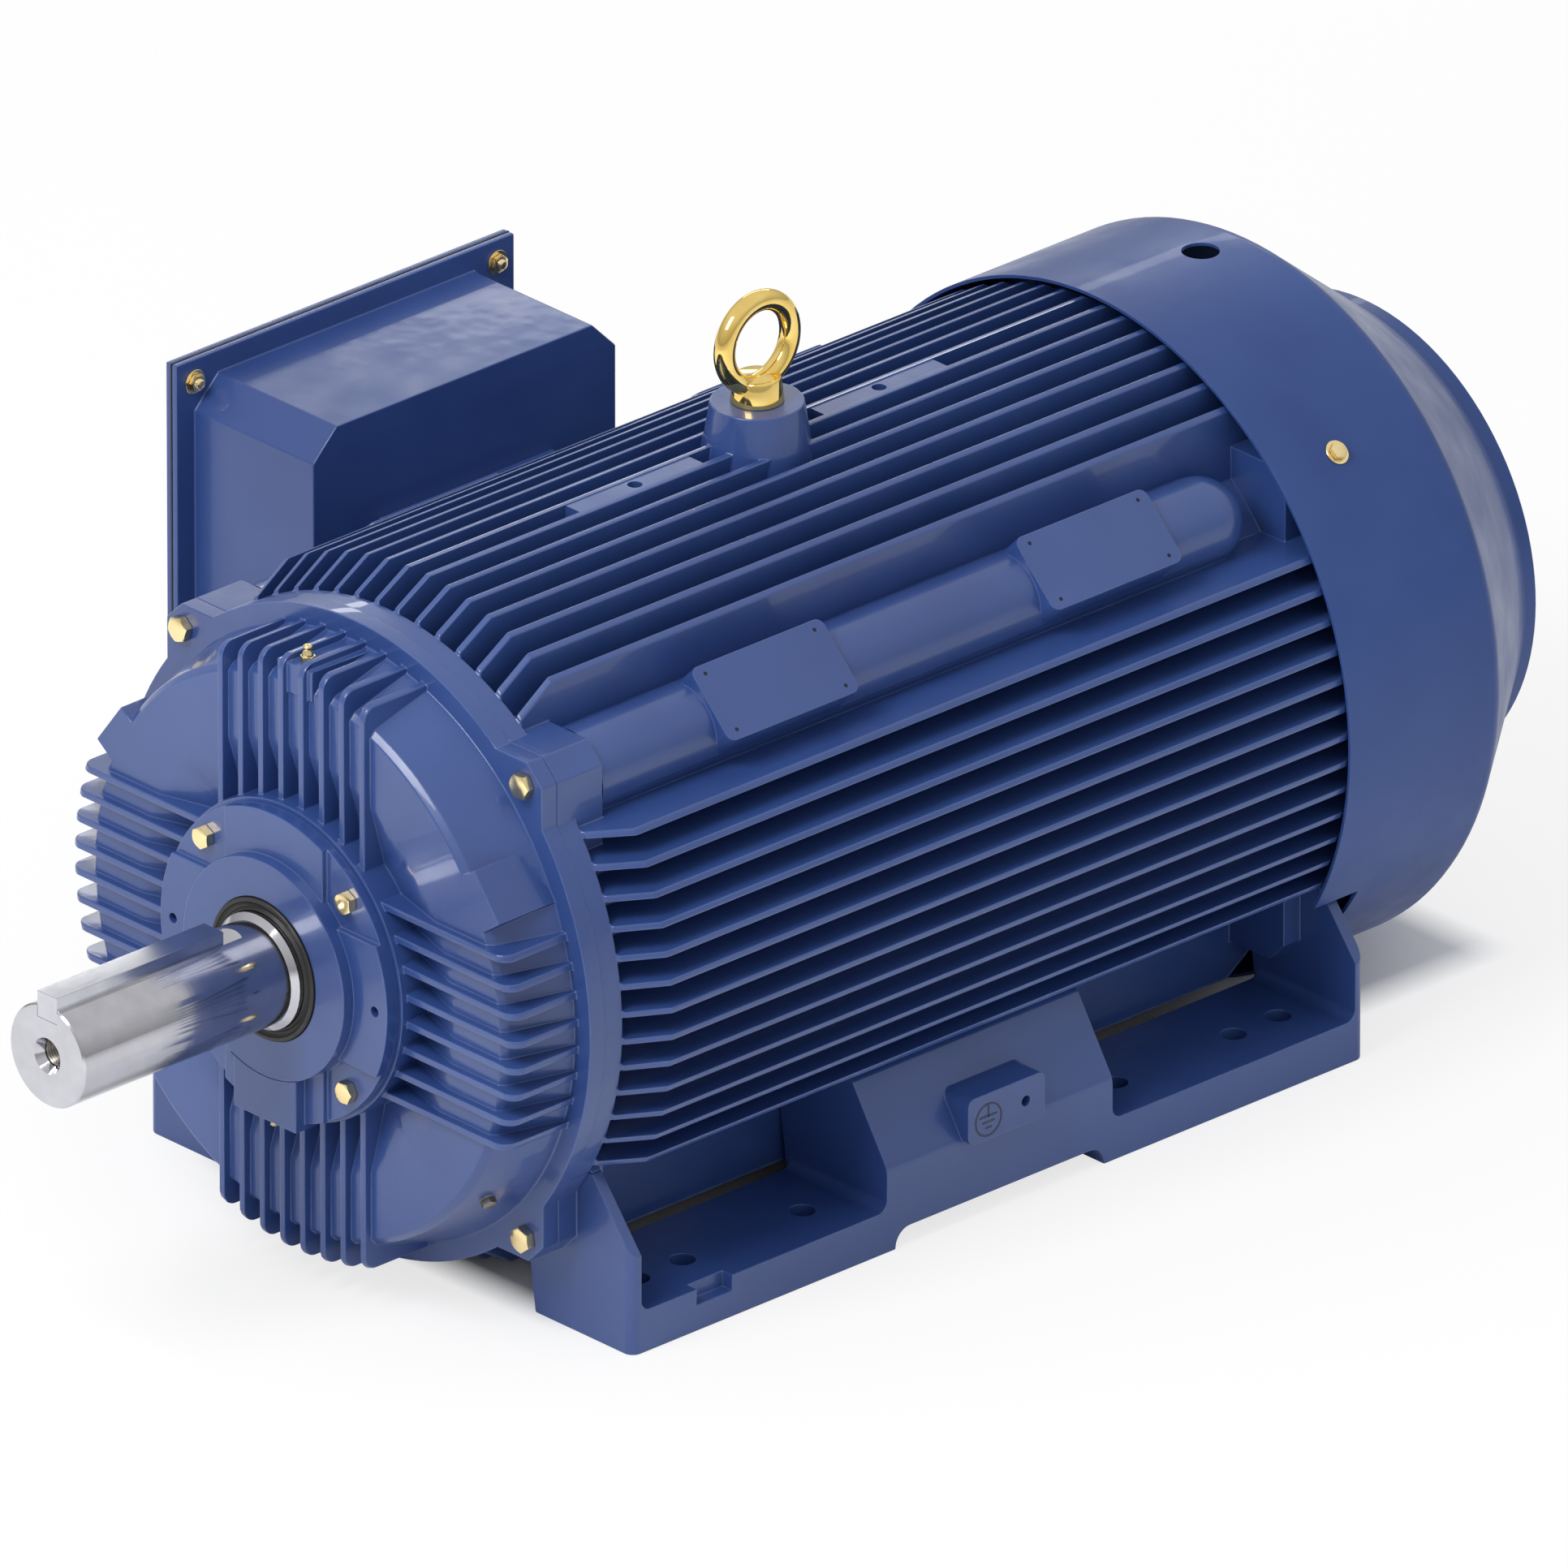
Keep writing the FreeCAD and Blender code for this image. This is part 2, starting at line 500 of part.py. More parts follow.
def frame_and_feet():
    """The whole casting, its upper part and the two feet split off at plane seams."""
    middle = mm("frame_offset")
    front, rear = mm(FRONT), mm(REAR)
    ground = -s.shaft_height
    fin_r, root_r = s.fin_dia / 2, s.barrel_dia / 2
    half_row = s.fin_row / 2

    # Fins are plates trimmed by a turned envelope with sloped ends
    first = front + s.band_length
    last = rear - s.band_length
    envelope = spun([
        (s.core_dia / 2, front), (s.fin_end_dia / 2, first), (fin_r, first + s.fin_slant),
        (fin_r, last - s.fin_slant), (s.fin_end_dia / 2, last), (s.core_dia / 2, rear),
    ])
    upright = fin_offsets(half_row, half_row, s.fin_pitch)
    level = fin_offsets(s.fin_low, s.fin_high, s.fin_pitch)
    start_r = (half_row + 0.5) * s.fin_pitch
    plates = fin_plates(upright, s.fin_thickness, start_r, fin_r, front, rear, "+z")
    plates += fin_plates(upright, s.fin_thickness, start_r, s.shaft_height - s.ground_gap, front, rear, "-z")
    plates += fin_plates(level, s.fin_thickness, start_r, fin_r, front, rear, "+x")
    plates += fin_plates(level, s.fin_thickness, start_r, fin_r, front, rear, "-x")
    fins = Part.makeCompound(plates).common(envelope)

    pieces = [disc(s.band_dia / 2, front, first), disc(s.band_dia / 2, last, rear), fins]
    for start in (front, rear - s.ear_depth):
        pieces.append(prism(ear_outline(), start, start + s.ear_depth))

    # Rounded swellings with flat pads on the upper corners
    turn_to_corner = Rotation(Vector(0, 1, 0), 45)
    tube_end = rear - s.tube_stop
    tube = Part.makeCylinder(s.tube_dia / 2, tube_end - front,
                             Vector(0, front, s.tube_centre), Vector(0, 1, 0))
    swelling = [tube, Part.makeSphere(s.tube_dia / 2, Vector(0, tube_end, s.tube_centre))]
    for sign in (-1, 1):
        centre = middle + sign * s.corner_pad_pitch / 2
        half_x, half_y = s.corner_pad_width / 2, s.corner_pad_length / 2
        pad = block(-half_x, half_x, centre - half_y, centre + half_y,
                    root_r - s.fin_thickness, s.corner_pad_flat)
        upright_edges = [edge for edge in pad.Edges if abs(edge.tangentAt(0).z) > 0.9]
        swelling.append(pad.makeFillet(s.corner_pad_corner, upright_edges))
    swelling = swelling[0].multiFuse(swelling[1:])
    swelling.Placement = Placement(Vector(), turn_to_corner)
    pieces += mirrored_pair(swelling)

    # Lifting boss and the two flat pads between the middle fins
    boss_foot = root_r - s.fin_thickness
    pieces.append(Part.makeCone(s.boss_base_dia / 2, s.boss_top_dia / 2, s.boss_height - boss_foot,
                                Vector(0, middle, boss_foot), Vector(0, 0, 1)))
    pad_top = fin_r - s.top_pad_drop
    for sign in (-1, 1):
        centre = middle + sign * s.top_pad_pitch / 2
        half = s.top_pad_length / 2
        pieces.append(block(-s.fin_pitch / 2, s.fin_pitch / 2, centre - half, centre + half,
                            boss_foot, pad_top))

    # Seat of the terminal box
    pieces.append(block(-s.neck_seat, -start_r, middle - s.neck_half, middle + s.neck_half,
                        -s.neck_drop, s.neck_top))

    pieces += mirrored_pair(foot_solid(middle, ground))
    whole = disc(root_r, front, rear).multiFuse(pieces)

    # Bore, leads opening and tapped holes
    cutters = [disc(s.core_dia / 2, front, rear)]
    lead_half = s.neck_half - s.lead_margin
    cutters.append(block(-s.neck_seat, 0, middle - lead_half, middle + lead_half,
                         s.lead_margin - s.neck_drop, s.neck_top - s.lead_margin))
    hole_r = s.ear_bolt_dia / 2 + s.bolt_gap
    for x, z in four_corners(s.ear_bolt):
        cutters.append(Part.makeCylinder(hole_r, s.ear_bolt_grip, Vector(x, front, z), Vector(0, 1, 0)))
        cutters.append(Part.makeCylinder(hole_r, s.ear_bolt_grip, Vector(x, rear, z), Vector(0, -1, 0)))
    cutters.append(Part.makeCylinder(s.eye_shank_dia / 2 + s.bolt_gap, s.eye_shank + 2,
                                     Vector(0, middle, s.boss_height), Vector(0, 0, -1)))
    for sign in (-1, 1):
        cutters.append(Part.makeCylinder(s.top_pad_hole / 2, s.top_pad_depth,
                                         Vector(0, middle + sign * s.top_pad_pitch / 2, pad_top),
                                         Vector(0, 0, -1)))
    for x in (-1, 1):
        for y in foot_hole_places():
            cutters.append(Part.makeCylinder(s.foot_hole_dia / 2, s.foot_plate + 2 * s.foot_recess,
                                             Vector(x * s.foot_gauge / 2, y, ground - 1), Vector(0, 0, 1)))
    cutters += seat_screw_holes()
    notch_start = front + s.foot_setback + s.foot_notch_place - s.foot_notch / 2
    notch_top = ground + s.foot_plate
    cutters.append(block(s.foot_width / 2 - s.foot_notch_depth, s.foot_width / 2 + 1, notch_start,
                         notch_start + s.foot_notch, notch_top - s.foot_notch_drop, notch_top + 1))
    whole = whole.cut(Part.makeCompound(cutters)).removeSplitter()

    # Seams of the feet: a level plane, a sloped one along a chord of the barrel and an upright one
    inner = s.foot_inner / 2 - s.foot_web
    right = prism([
        (math.sqrt(root_r ** 2 - s.foot_split ** 2), -s.foot_split), (s.foot_width, -s.foot_split),
        (s.foot_width, ground - 1), (inner, ground - 1), (inner, -math.sqrt(root_r ** 2 - inner ** 2))],
        front - 1, rear + 1)
    left = right.mirror(Vector(), Vector(1, 0, 0))
    body = whole.cut(Part.makeCompound([right, left])).removeSplitter()
    return body, whole.common(left).removeSplitter(), whole.common(right).removeSplitter()


def foot_hole_places():
    """Stations of the six bolt holes of one foot, alike at both ends of the casting."""
    middle = s.frame_offset
    steps = [s.foot_span / 2 + middle, s.foot_span / 2 - middle, s.foot_span_short - s.foot_span / 2 - middle]
    return [middle + sign * step for sign in (-1, 1) for step in steps]


def foot_solid(middle, ground):
    """One foot with its end walls, inner web, closed middle section and earthing pad."""
    outer, inner = s.foot_width / 2, s.foot_inner / 2
    half_length = s.frame_length / 2 - s.foot_setback
    front, rear = middle - half_length, middle + half_length
    root_r = (s.barrel_dia + s.core_dia) / 4
    high = -(s.foot_split - s.foot_web)
    in_wall = (math.sqrt(root_r ** 2 - high ** 2), high)
    low_x = inner - s.foot_web
    low_wall = (low_x, -math.sqrt(root_r ** 2 - low_x ** 2))

    wall = [(inner, ground), (outer, ground), (outer, ground + s.foot_shoulder),
            (s.foot_peak_half, ground + s.foot_peak), in_wall, low_wall]
    section = [(inner, ground), (outer, ground), (outer, ground + s.foot_block_shoulder),
               (s.foot_block_half, ground + s.foot_block_peak), in_wall, low_wall]
    bend = [0, 0, s.foot_bend, 0, 0, 0]
    pieces = [
        prism(wall, front, front + s.foot_wall),
        prism(wall, rear - s.foot_wall, rear),
        prism(section, middle - s.foot_block / 2, middle + s.foot_block / 2, bend),
        prism([(inner, ground), (inner + s.foot_web, ground), (inner + s.foot_web, -s.foot_split),
               in_wall, low_wall], front, rear),
        block(inner, outer, front, rear, ground, ground + s.foot_plate),
    ]
    foot = pieces[0].multiFuse(pieces[1:])
    recess_half = half_length - s.foot_pad
    relief = block(low_x, outer + 1, middle - recess_half, middle + recess_half,
                   ground - 1, ground + s.foot_recess)
    roof = [edge for edge in relief.Edges
            if abs(edge.tangentAt(0).x) > 0.9 and edge.CenterOfMass.z > ground]
    foot = foot.cut(relief.makeFillet(s.foot_recess - 1, roof))
    corners = [edge for edge in foot.Edges
               if abs(edge.tangentAt(edge.FirstParameter).z) > 0.99 and edge.CenterOfMass.x > outer - 1
               and abs(abs(edge.CenterOfMass.y - middle) - half_length) < 1]
    foot = foot.makeFillet(s.foot_corner - s.foot_wall / 10, corners)
    floor = ground + s.foot_plate
    ends = [edge for edge in foot.Edges
            if abs(edge.tangentAt(edge.FirstParameter).x) > 0.99 and abs(edge.CenterOfMass.z - floor) < 0.1]
    foot = foot.makeFillet(s.foot_pocket_round, ends)
    sill = floor + s.foot_window_sill
    windows = [block(low_x, inner + s.foot_web + 1, place - s.foot_window / 2, place + s.foot_window / 2,
                     sill, sill + s.foot_window_height)
               for place in (middle - s.foot_window_place, middle + s.foot_window_place)]
    base = ground + s.earth_pad_base
    pad = block(s.foot_block_half, s.earth_pad_half, middle - s.earth_pad_length / 2,
                middle + s.earth_pad_length / 2, base, base + s.earth_pad_height)
    pad_corners = [edge for edge in pad.Edges if abs(edge.tangentAt(0).x) > 0.9]
    pad = pad.makeFillet(s.earth_pad_half - outer, pad_corners)
    mouth = Vector(s.earth_pad_half, middle + s.earth_pad_length / 4, base + s.earth_pad_height / 2)
    hole = Part.makeCylinder(s.earth_pad_hole / 2, 2 * s.earth_pad_hole, mouth, Vector(-1, 0, 0))
    return foot.fuse(pad).cut(Part.makeCompound(windows + [hole]))


def seat_screw_holes():
    """Tapped holes for the screws that hold the neck of the terminal box."""
    return [Part.makeCylinder(s.small_bolt_dia / 2 + s.bolt_gap, s.small_bolt_grip,
                              Vector(-s.neck_seat, y, z), Vector(1, 0, 0)) for y, z in seat_screw_places()]


def seat_screw_places():
    """The four screws of the neck, from the shaft axis."""
    inset = s.seat_screw_inset
    return [(s.frame_offset + sign * (s.neck_half - inset), z)
            for sign in (-1, 1) for z in (inset - s.neck_drop, s.neck_top - inset)]


def shield_shape(ring, drum, hub, hub_length, rib, bearing, drive_end):
    """A bearing shield. Its joint is at y = 0 and it reaches towards -Y."""
    hub_r, dish_r = s.hub_dia / 2, s.dish_dia / 2
    face_r, foot_r = s.drum_front_dia / 2, s.drum_rear_dia / 2
    register_r = s.core_dia / 2 - s.bolt_gap
    outer = spun([
        (0, -hub), (hub_r, -hub), (hub_r, s.dish_depth - drum), (dish_r, -drum),
        (face_r - s.drum_edge, -drum), (face_r, s.drum_edge - drum), (foot_r, -ring),
        (s.shield_ring_dia / 2, -ring), (s.shield_ring_dia / 2, 0),
        (register_r, 0), (register_r, s.shield_spigot), (0, s.shield_spigot),
    ])
    pieces = [prism(ear_outline(), -ring, 0)]

    # Ribs are plates trimmed by a turned envelope with a rounded outer corner
    reach_r = s.rib_dia / 2
    envelope = disc(reach_r, -rib, -ring)
    rim = [edge for edge in envelope.Edges if edge.CenterOfMass.y < -rib + 1 and len(edge.Vertexes) == 1]
    envelope = envelope.makeFillet(s.rib_corner, rim)
    offsets = fin_offsets(s.rib_row / 2, s.rib_row / 2, s.fin_pitch)
    plates = []
    for side in ("+z", "-z", "+x", "-x"):
        plates += fin_plates(offsets, s.rib_thickness, bearing / 2, reach_r, -rib, -ring, side)
    pieces.append(Part.makeCompound(plates).common(envelope))

    # Pads for the grease fitting and for vibration sensors
    pieces.append(block(-s.grease_pad_half, s.grease_pad_half, -drum - 2, -ring, face_r - s.shield_wall,
                        s.grease_pad_top))
    if drive_end:
        half = s.sensor_width / 2
        sensor = block(s.sensor_flat - 3 * s.shield_wall, s.sensor_flat, -drum, -ring,
                       -s.sensor_shift - half, half - s.sensor_shift)
        sensor.rotate(Vector(), Vector(0, 1, 0), -s.sensor_angle)
        pieces += mirrored_pair(sensor)
    whole = outer.multiFuse(pieces)

    inner_r = foot_r - s.shield_wall
    cavity = spun([
        (hub_r, s.dish_depth + s.shield_wall - drum), (dish_r, s.shield_wall - drum),
        (face_r - s.shield_wall, s.shield_wall - drum), (inner_r - s.shield_wall, -ring),
        (inner_r - s.shield_wall, s.shield_spigot + 1), (0, s.shield_spigot + 1), (0, hub_length - hub),
        (hub_r, hub_length - hub),
    ])
    cutters = [cavity, disc(bearing / 2, -hub - 1, s.shield_spigot)]
    for x, z in four_corners(s.ear_bolt):
        cutters.append(Part.makeCylinder(s.ear_bolt_dia / 2 + s.bolt_gap, ring + 2,
                                         Vector(x, 1, z), Vector(0, -1, 0)))
    for x, z in four_corners(s.cap_circle / 2 / math.sqrt(2)):
        cutters.append(Part.makeCylinder(s.cap_bolt_dia / 2 + s.bolt_gap, hub_length + 2,
                                         Vector(x, -hub - 1, z), Vector(0, 1, 0)))
    fitting_hole = s.fitting_dia / 4 + s.bolt_gap
    cutters.append(Part.makeCylinder(fitting_hole, s.grease_pad_top - bearing / 2 + 4,
                                     Vector(0, fitting_station(drum), bearing / 2 - 4), Vector(0, 0, 1)))
    if not drive_end:
        for x, z in four_corners(1 / math.sqrt(2)):
            mouth = Vector(x * s.cover_dia / 2, -s.cover_bolt_back, z * s.cover_dia / 2)
            cutters.append(Part.makeCylinder(s.small_bolt_dia / 2 + s.bolt_gap,
                                             s.small_bolt_grip + s.bolt_gap, mouth, Vector(-x, 0, -z)))
    return whole.cut(Part.makeCompound(cutters)).removeSplitter()


def fitting_station(drum):
    """Grease fitting, measured from the shield joint."""
    return s.fitting_back - drum


def make_castings():
    """Frame, feet and bearing shields."""
    body, left, right = frame_and_feet()
    keep_shape("frame_casting", body)
    keep_shape("foot_left", left)
    keep_shape("foot_right", right)
    front = shield_shape(s.shield_ring, s.drum_reach, s.hub_reach, s.hub_length, s.rib_reach,
                         s.bearing_dia, True)
    keep_shape("drive_end_shield", front, along=FRONT)
    rear = shield_shape(s.rear_ring, s.rear_drum_reach, s.rear_hub_reach, s.rear_hub_length,
                        s.rear_rib_reach, s.rear_bearing_dia, False)
    keep_shape("fan_end_shield", rear, along=REAR, turn=BACKWARD)


def cap_hole(body, name):
    """The four bolt holes of a bearing cap."""
    centre = ("cap_circle / 2 * cos(45)", "cap_circle / 2 * cos(45)")
    drill_row(body, name, centre, "cap_bolt_dia + 2 * bolt_gap", 4)


def drive_end_cap_shape():
    """The cap that shows round the shaft: boss, lowered bolt corners and grease outlet block."""
    cap_r, boss_r, bearing_r = s.cap_dia / 2, s.cap_boss_dia / 2, s.bearing_dia / 2
    nose = -s.cap_plate - s.cap_boss
    outlet = block(-s.cap_grease_half, s.cap_grease_half, nose + 1, 0,
                   -s.cap_grease_drop, -boss_r + s.cap_boss)
    whole = disc(cap_r, -s.cap_plate, 0).multiFuse([
        disc(boss_r, nose, 0), outlet, disc(bearing_r - s.bolt_gap, -1, s.cap_spigot)])
    cutters = [
        disc(s.shoulder_dia / 2 + s.cap_bore_gap, nose - 1, s.cap_spigot + 1),
        disc(s.seal_dia / 2 + s.running_gap, nose - 1, nose + s.seal_width - s.seal_stand + s.running_gap),
        disc(bearing_r - s.race_land, 0, s.cap_spigot + 1),
    ]
    for x, z in four_corners(1):
        near, far = s.cap_relief_half, cap_r
        corner = block(min(x * near, x * far), max(x * near, x * far), nose - 1, s.cap_relief - s.cap_plate,
                       min(z * near, z * far), max(z * near, z * far))
        cutters.append(corner.cut(disc(boss_r, nose - 1, 0)))
    for x, z in four_corners(s.cap_circle / 2 / math.sqrt(2)):
        cutters.append(Part.makeCylinder(s.cap_bolt_dia / 2 + s.bolt_gap, s.cap_plate + 1,
                                         Vector(x, 0, z), Vector(0, -1, 0)))
    for sign in (-1, 1):
        cutters.append(Part.makeCylinder(s.jack_hole_dia / 2, s.cap_plate,
                                         Vector(sign * s.jack_hole_offset, -s.cap_plate, 0), Vector(0, 1, 0)))
    cutters.append(Part.makeCylinder(s.fitting_dia / 4 + s.bolt_gap, s.fitting_thread + 1,
                                     Vector(0, nose / 2, -s.cap_grease_drop), Vector(0, 0, 1)))
    return whole.cut(Part.makeCompound(cutters)).removeSplitter()


def make_caps():
    """Outer and inner bearing caps, drilled for the four cap bolts."""
    keep_shape("drive_end_cap", drive_end_cap_shape(), along=f"{FRONT} - hub_reach")

    fit = "rear_bearing_dia / 2 - bolt_gap"
    land = "rear_bearing_dia / 2 - race_land"
    neck = "rear_bearing_bore / 2 + cap_bore_gap"
    rear = turned("fan_end_cap", [
        (neck, "-cap_plate"), ("cap_dia / 2", "-cap_plate"), ("cap_dia / 2", "0"), (fit, "0"),
        (fit, "rear_cap_spigot"), (land, "rear_cap_spigot"), (land, "0"), (neck, "0")])
    cap_hole(rear, "fan_end_cap_hole")
    keep(rear, along=f"{REAR} + rear_hub_reach", turn=BACKWARD)

    for end, hub, plane, turn, used in (
            ("drive_end", "", f"{FRONT} - hub_reach + hub_length", FORWARD, "cap_spigot + bearing_width"),
            ("fan_end", "rear_", f"{REAR} + rear_hub_reach - rear_hub_length", BACKWARD,
             "rear_cap_spigot + spring_wire + rear_bearing_width")):
        fit = f"{hub}bearing_dia / 2 - bolt_gap"
        land = f"{hub}bearing_dia / 2 - race_land"
        neck = f"{hub}bearing_bore / 2 + abutment_rise + cap_bore_gap"
        reach = f"-({hub}hub_length - ({used}))"
        inner = turned(f"{end}_inner_cap", [
            (land, reach), (fit, reach), (fit, "0"), ("cap_dia / 2", "0"), ("cap_dia / 2", "inner_cap_plate"),
            (neck, "inner_cap_plate"), (neck, "0"), (land, "0")])
        cap_hole(inner, f"{end}_inner_cap_hole")
        keep(inner, along=plane, turn=turn)


def race(label, corners, pitch, ball, along):
    """A bearing ring with its ball groove."""
    ring = turned(label, corners)
    groove = ring.newObject("PartDesign::Groove", f"{label}_groove")
    circle = circle_sketch(ring, f"{label}_circle", "XY_Plane", (pitch, "0"), f"{ball} + 2 * running_gap")
    groove.Profile = circle
    groove.ReferenceAxis = (circle, ["V_Axis"])
    groove.Angle = 360
    keep(ring, along=along)


def ball_set_shape(pitch, ball_r):
    """The balls of a bearing and the ring that spaces them, with a round pocket for each."""
    pocket_r = ball_r + s.running_gap
    half = pocket_r + s.cage_lip
    wall = s.cage_wall / 2
    ring = disc(pitch + wall, -half, half).cut(disc(pitch - wall, -half, half))
    pockets = []
    balls = []
    for index in range(int(s.ball_row)):
        angle = 2 * math.pi * index / s.ball_row
        outward = Vector(math.cos(angle), 0, math.sin(angle))
        pockets.append(Part.makeCylinder(pocket_r, ball_r, outward * (pitch - ball_r / 2), outward))
        balls.append(Part.makeSphere(ball_r, outward * pitch))
    return Part.makeCompound([ring.cut(Part.makeCompound(pockets))] + balls)


def make_bearings():
    """Two deep-groove ball bearings and the preload spring of the fan end."""
    for end, mark, along in (("drive_end", "", DRIVE_BEARING), ("fan_end", "rear_", FAN_BEARING)):
        bore, dia, ball = f"{mark}bearing_bore / 2", f"{mark}bearing_dia / 2", f"{mark}ball_dia"
        pitch = f"({mark}bearing_bore + {mark}bearing_dia) / 4"
        half = f"{mark}bearing_width / 2"
        inner_land = f"{pitch} - {ball} / 2 + race_land"
        outer_land = f"{pitch} + {ball} / 2 - race_land"
        race(f"{end}_inner_race", box_corners(bore, inner_land, f"-{half}", half), pitch, ball, along)
        race(f"{end}_outer_race", box_corners(outer_land, dia, f"-{half}", half), pitch, ball, along)
        keep_shape(f"{end}_ball_set", ball_set_shape(mm(pitch), mm(ball) / 2), along=along)
    spring = turned("preload_spring", box_corners(
        "rear_bearing_dia / 2 - race_land", "rear_bearing_dia / 2 - running_gap", "0", "spring_wire"))
    keep(spring, along=f"{REAR} + rear_hub_reach - rear_cap_spigot - spring_wire")


def make_shaft():
    """The stepped shaft with its keyseats, the two keys and the rubber seal."""
    extension = "shaft_dia / 2"
    spine = "spine_dia / 2"
    seat, rear_seat = "bearing_bore / 2", "rear_bearing_bore / 2"
    abutment, rear_abutment = f"{seat} + abutment_rise", f"{rear_seat} + abutment_rise"
    start, end = f"({DRIVE_BEARING} - bearing_width / 2)", f"({DRIVE_BEARING} + bearing_width / 2)"
    rear_start = f"({FAN_BEARING} - rear_bearing_width / 2)"
    spine_start = f"({end} + hub_length)"
    spine_end = f"({rear_start} - rear_hub_length)"
    shaft = turned("shaft", [
        ("0", f"{SHAFT_END} + centre_depth"), ("centre_dia / 2", f"{SHAFT_END} + centre_depth"),
        ("centre_dia / 2", f"{SHAFT_END} + (centre_mouth - centre_dia) * cos(30)"),
        ("centre_mouth / 2", SHAFT_END), (f"{extension} - shaft_chamfer", SHAFT_END),
        (extension, f"{SHAFT_END} + shaft_chamfer"), (extension, SHOULDER),
        ("shoulder_dia / 2", f"{SHOULDER} + shoulder_edge"), ("shoulder_dia / 2", start), (seat, start),
        (seat, end), (abutment, end), (abutment, spine_start), (spine, spine_start), (spine, spine_end),
        (rear_abutment, spine_end), (rear_abutment, rear_start), (rear_seat, rear_start),
        (rear_seat, FAN_START), ("rear_seat_dia / 2", FAN_START), ("rear_seat_dia / 2", FAN_END),
        ("0", FAN_END)])
    floor = "(keyseat_height - shaft_dia / 2)"
    top = "shaft_dia / 2 + shaft_chamfer"
    seat_cut = shaft.newObject("PartDesign::Pocket", "keyseat")
    seat_cut.Profile = outline_sketch(shaft, "keyseat_outline", "YZ_Plane", [
        (f"{SHAFT_END} - shaft_chamfer", floor), (f"{SHAFT_END} + key_length", floor),
        (f"{SHAFT_END} + key_length + key_runout", top), (f"{SHAFT_END} - shaft_chamfer", top)])
    seat_cut.Midplane = True
    seat_cut.setExpression("Length", bound("key_width + 2 * key_gap"))
    fan_floor = "(rear_seat_dia / 2 - fan_key_depth)"
    fan_cut = shaft.newObject("PartDesign::Pocket", "fan_keyseat")
    fan_cut.Profile = outline_sketch(shaft, "fan_keyseat_outline", "YZ_Plane", box_corners(
        FAN_START, f"{FAN_END} + fan_gap", fan_floor, "rear_bearing_bore / 2"))
    fan_cut.Midplane = True
    fan_cut.setExpression("Length", bound("fan_key_width + 2 * key_gap"))
    keep(shaft)
    keep(padded("shaft_key", "YZ_Plane", box_corners(
        SHAFT_END, f"{SHAFT_END} + key_length", floor, f"{floor} + key_width"), "key_width"))
    keep(padded("fan_key", "YZ_Plane", box_corners(
        FAN_START, FAN_END, fan_floor, f"{fan_floor} + fan_key_height"), "fan_key_width"))
    keep(turned("shaft_seal", box_corners("shoulder_dia / 2", "seal_dia / 2", "0", "seal_width")),
         along=f"{FRONT} - hub_reach - cap_plate - cap_boss - seal_stand")


def make_cores():
    """Laminated rotor and stator, the cage rings and the end windings."""
    half = "stack_length / 2"
    keep(turned("rotor_core", box_corners("spine_dia / 2", "rotor_dia / 2", f"-{half}", half)),
         along="frame_offset")
    keep(turned("stator_core", box_corners("rotor_dia / 2 + air_gap", "core_dia / 2", f"-{half}", half)),
         along="frame_offset")
    for end, sign, turn in (("drive_end", "-", FORWARD), ("fan_end", "+", BACKWARD)):
        face = f"frame_offset {sign} {half}"
        keep(turned(f"{end}_cage_ring", box_corners(
            "cage_inner / 2", "rotor_dia / 2 - air_gap", "-cage_reach", "0")), along=face, turn=turn)
        keep(turned(f"{end}_winding", [
            ("winding_inner / 2", "0"), ("winding_inner / 2", "winding_bevel - winding_reach"),
            ("winding_inner / 2 + winding_bevel", "-winding_reach"),
            ("winding_outer / 2 - winding_bevel", "-winding_reach"),
            ("winding_outer / 2", "winding_bevel - winding_reach"), ("winding_outer / 2", "0")]),
            along=face, turn=turn)


def make_fan():
    """The radial-blade fan: hub, back plate and a row of blades."""
    hub, tip = "fan_hub_dia / 2", "fan_dia / 2"
    bore = "rear_seat_dia / 2"
    fan = turned("fan", [
        (bore, "0"), (tip, "0"), (tip, "fan_plate"), (hub, "fan_plate"), (hub, "fan_hub_length"),
        (bore, "fan_hub_length")])
    blade = fan.newObject("PartDesign::Pad", "fan_blade_pad")
    blade.Profile = outline_sketch(fan, "fan_blade_outline", "YZ_Plane", [
        ("fan_plate / 2", "fan_blade_root / 2"), ("fan_plate / 2", tip), ("fan_blade_full", tip),
        ("fan_plate + fan_blade_reach", "fan_blade_tip_dia / 2"),
        ("fan_plate + fan_blade_reach", "fan_blade_root / 2")])
    blade.Midplane = True
    blade.setExpression("Length", bound("fan_blade"))
    row = fan.newObject("PartDesign::PolarPattern", "fan_blades")
    row.Originals = [blade]
    row.Axis = (plane_of(fan, "Y_Axis"), [""])
    row.Angle = 360
    row.setExpression("Occurrences", bound("fan_blade_row"))
    fan.Tip = row
    slot = fan.newObject("PartDesign::Pocket", "fan_hub_keyseat")
    slot.Profile = outline_sketch(fan, "fan_hub_keyseat_outline", "YZ_Plane", box_corners(
        "-fan_plate", "fan_hub_length + fan_plate", f"{bore} / 2",
        f"{bore} - fan_key_depth + fan_key_height + running_gap"))
    slot.Midplane = True
    slot.setExpression("Length", bound("fan_key_width + 2 * key_gap"))
    keep(fan, along=FAN_START)


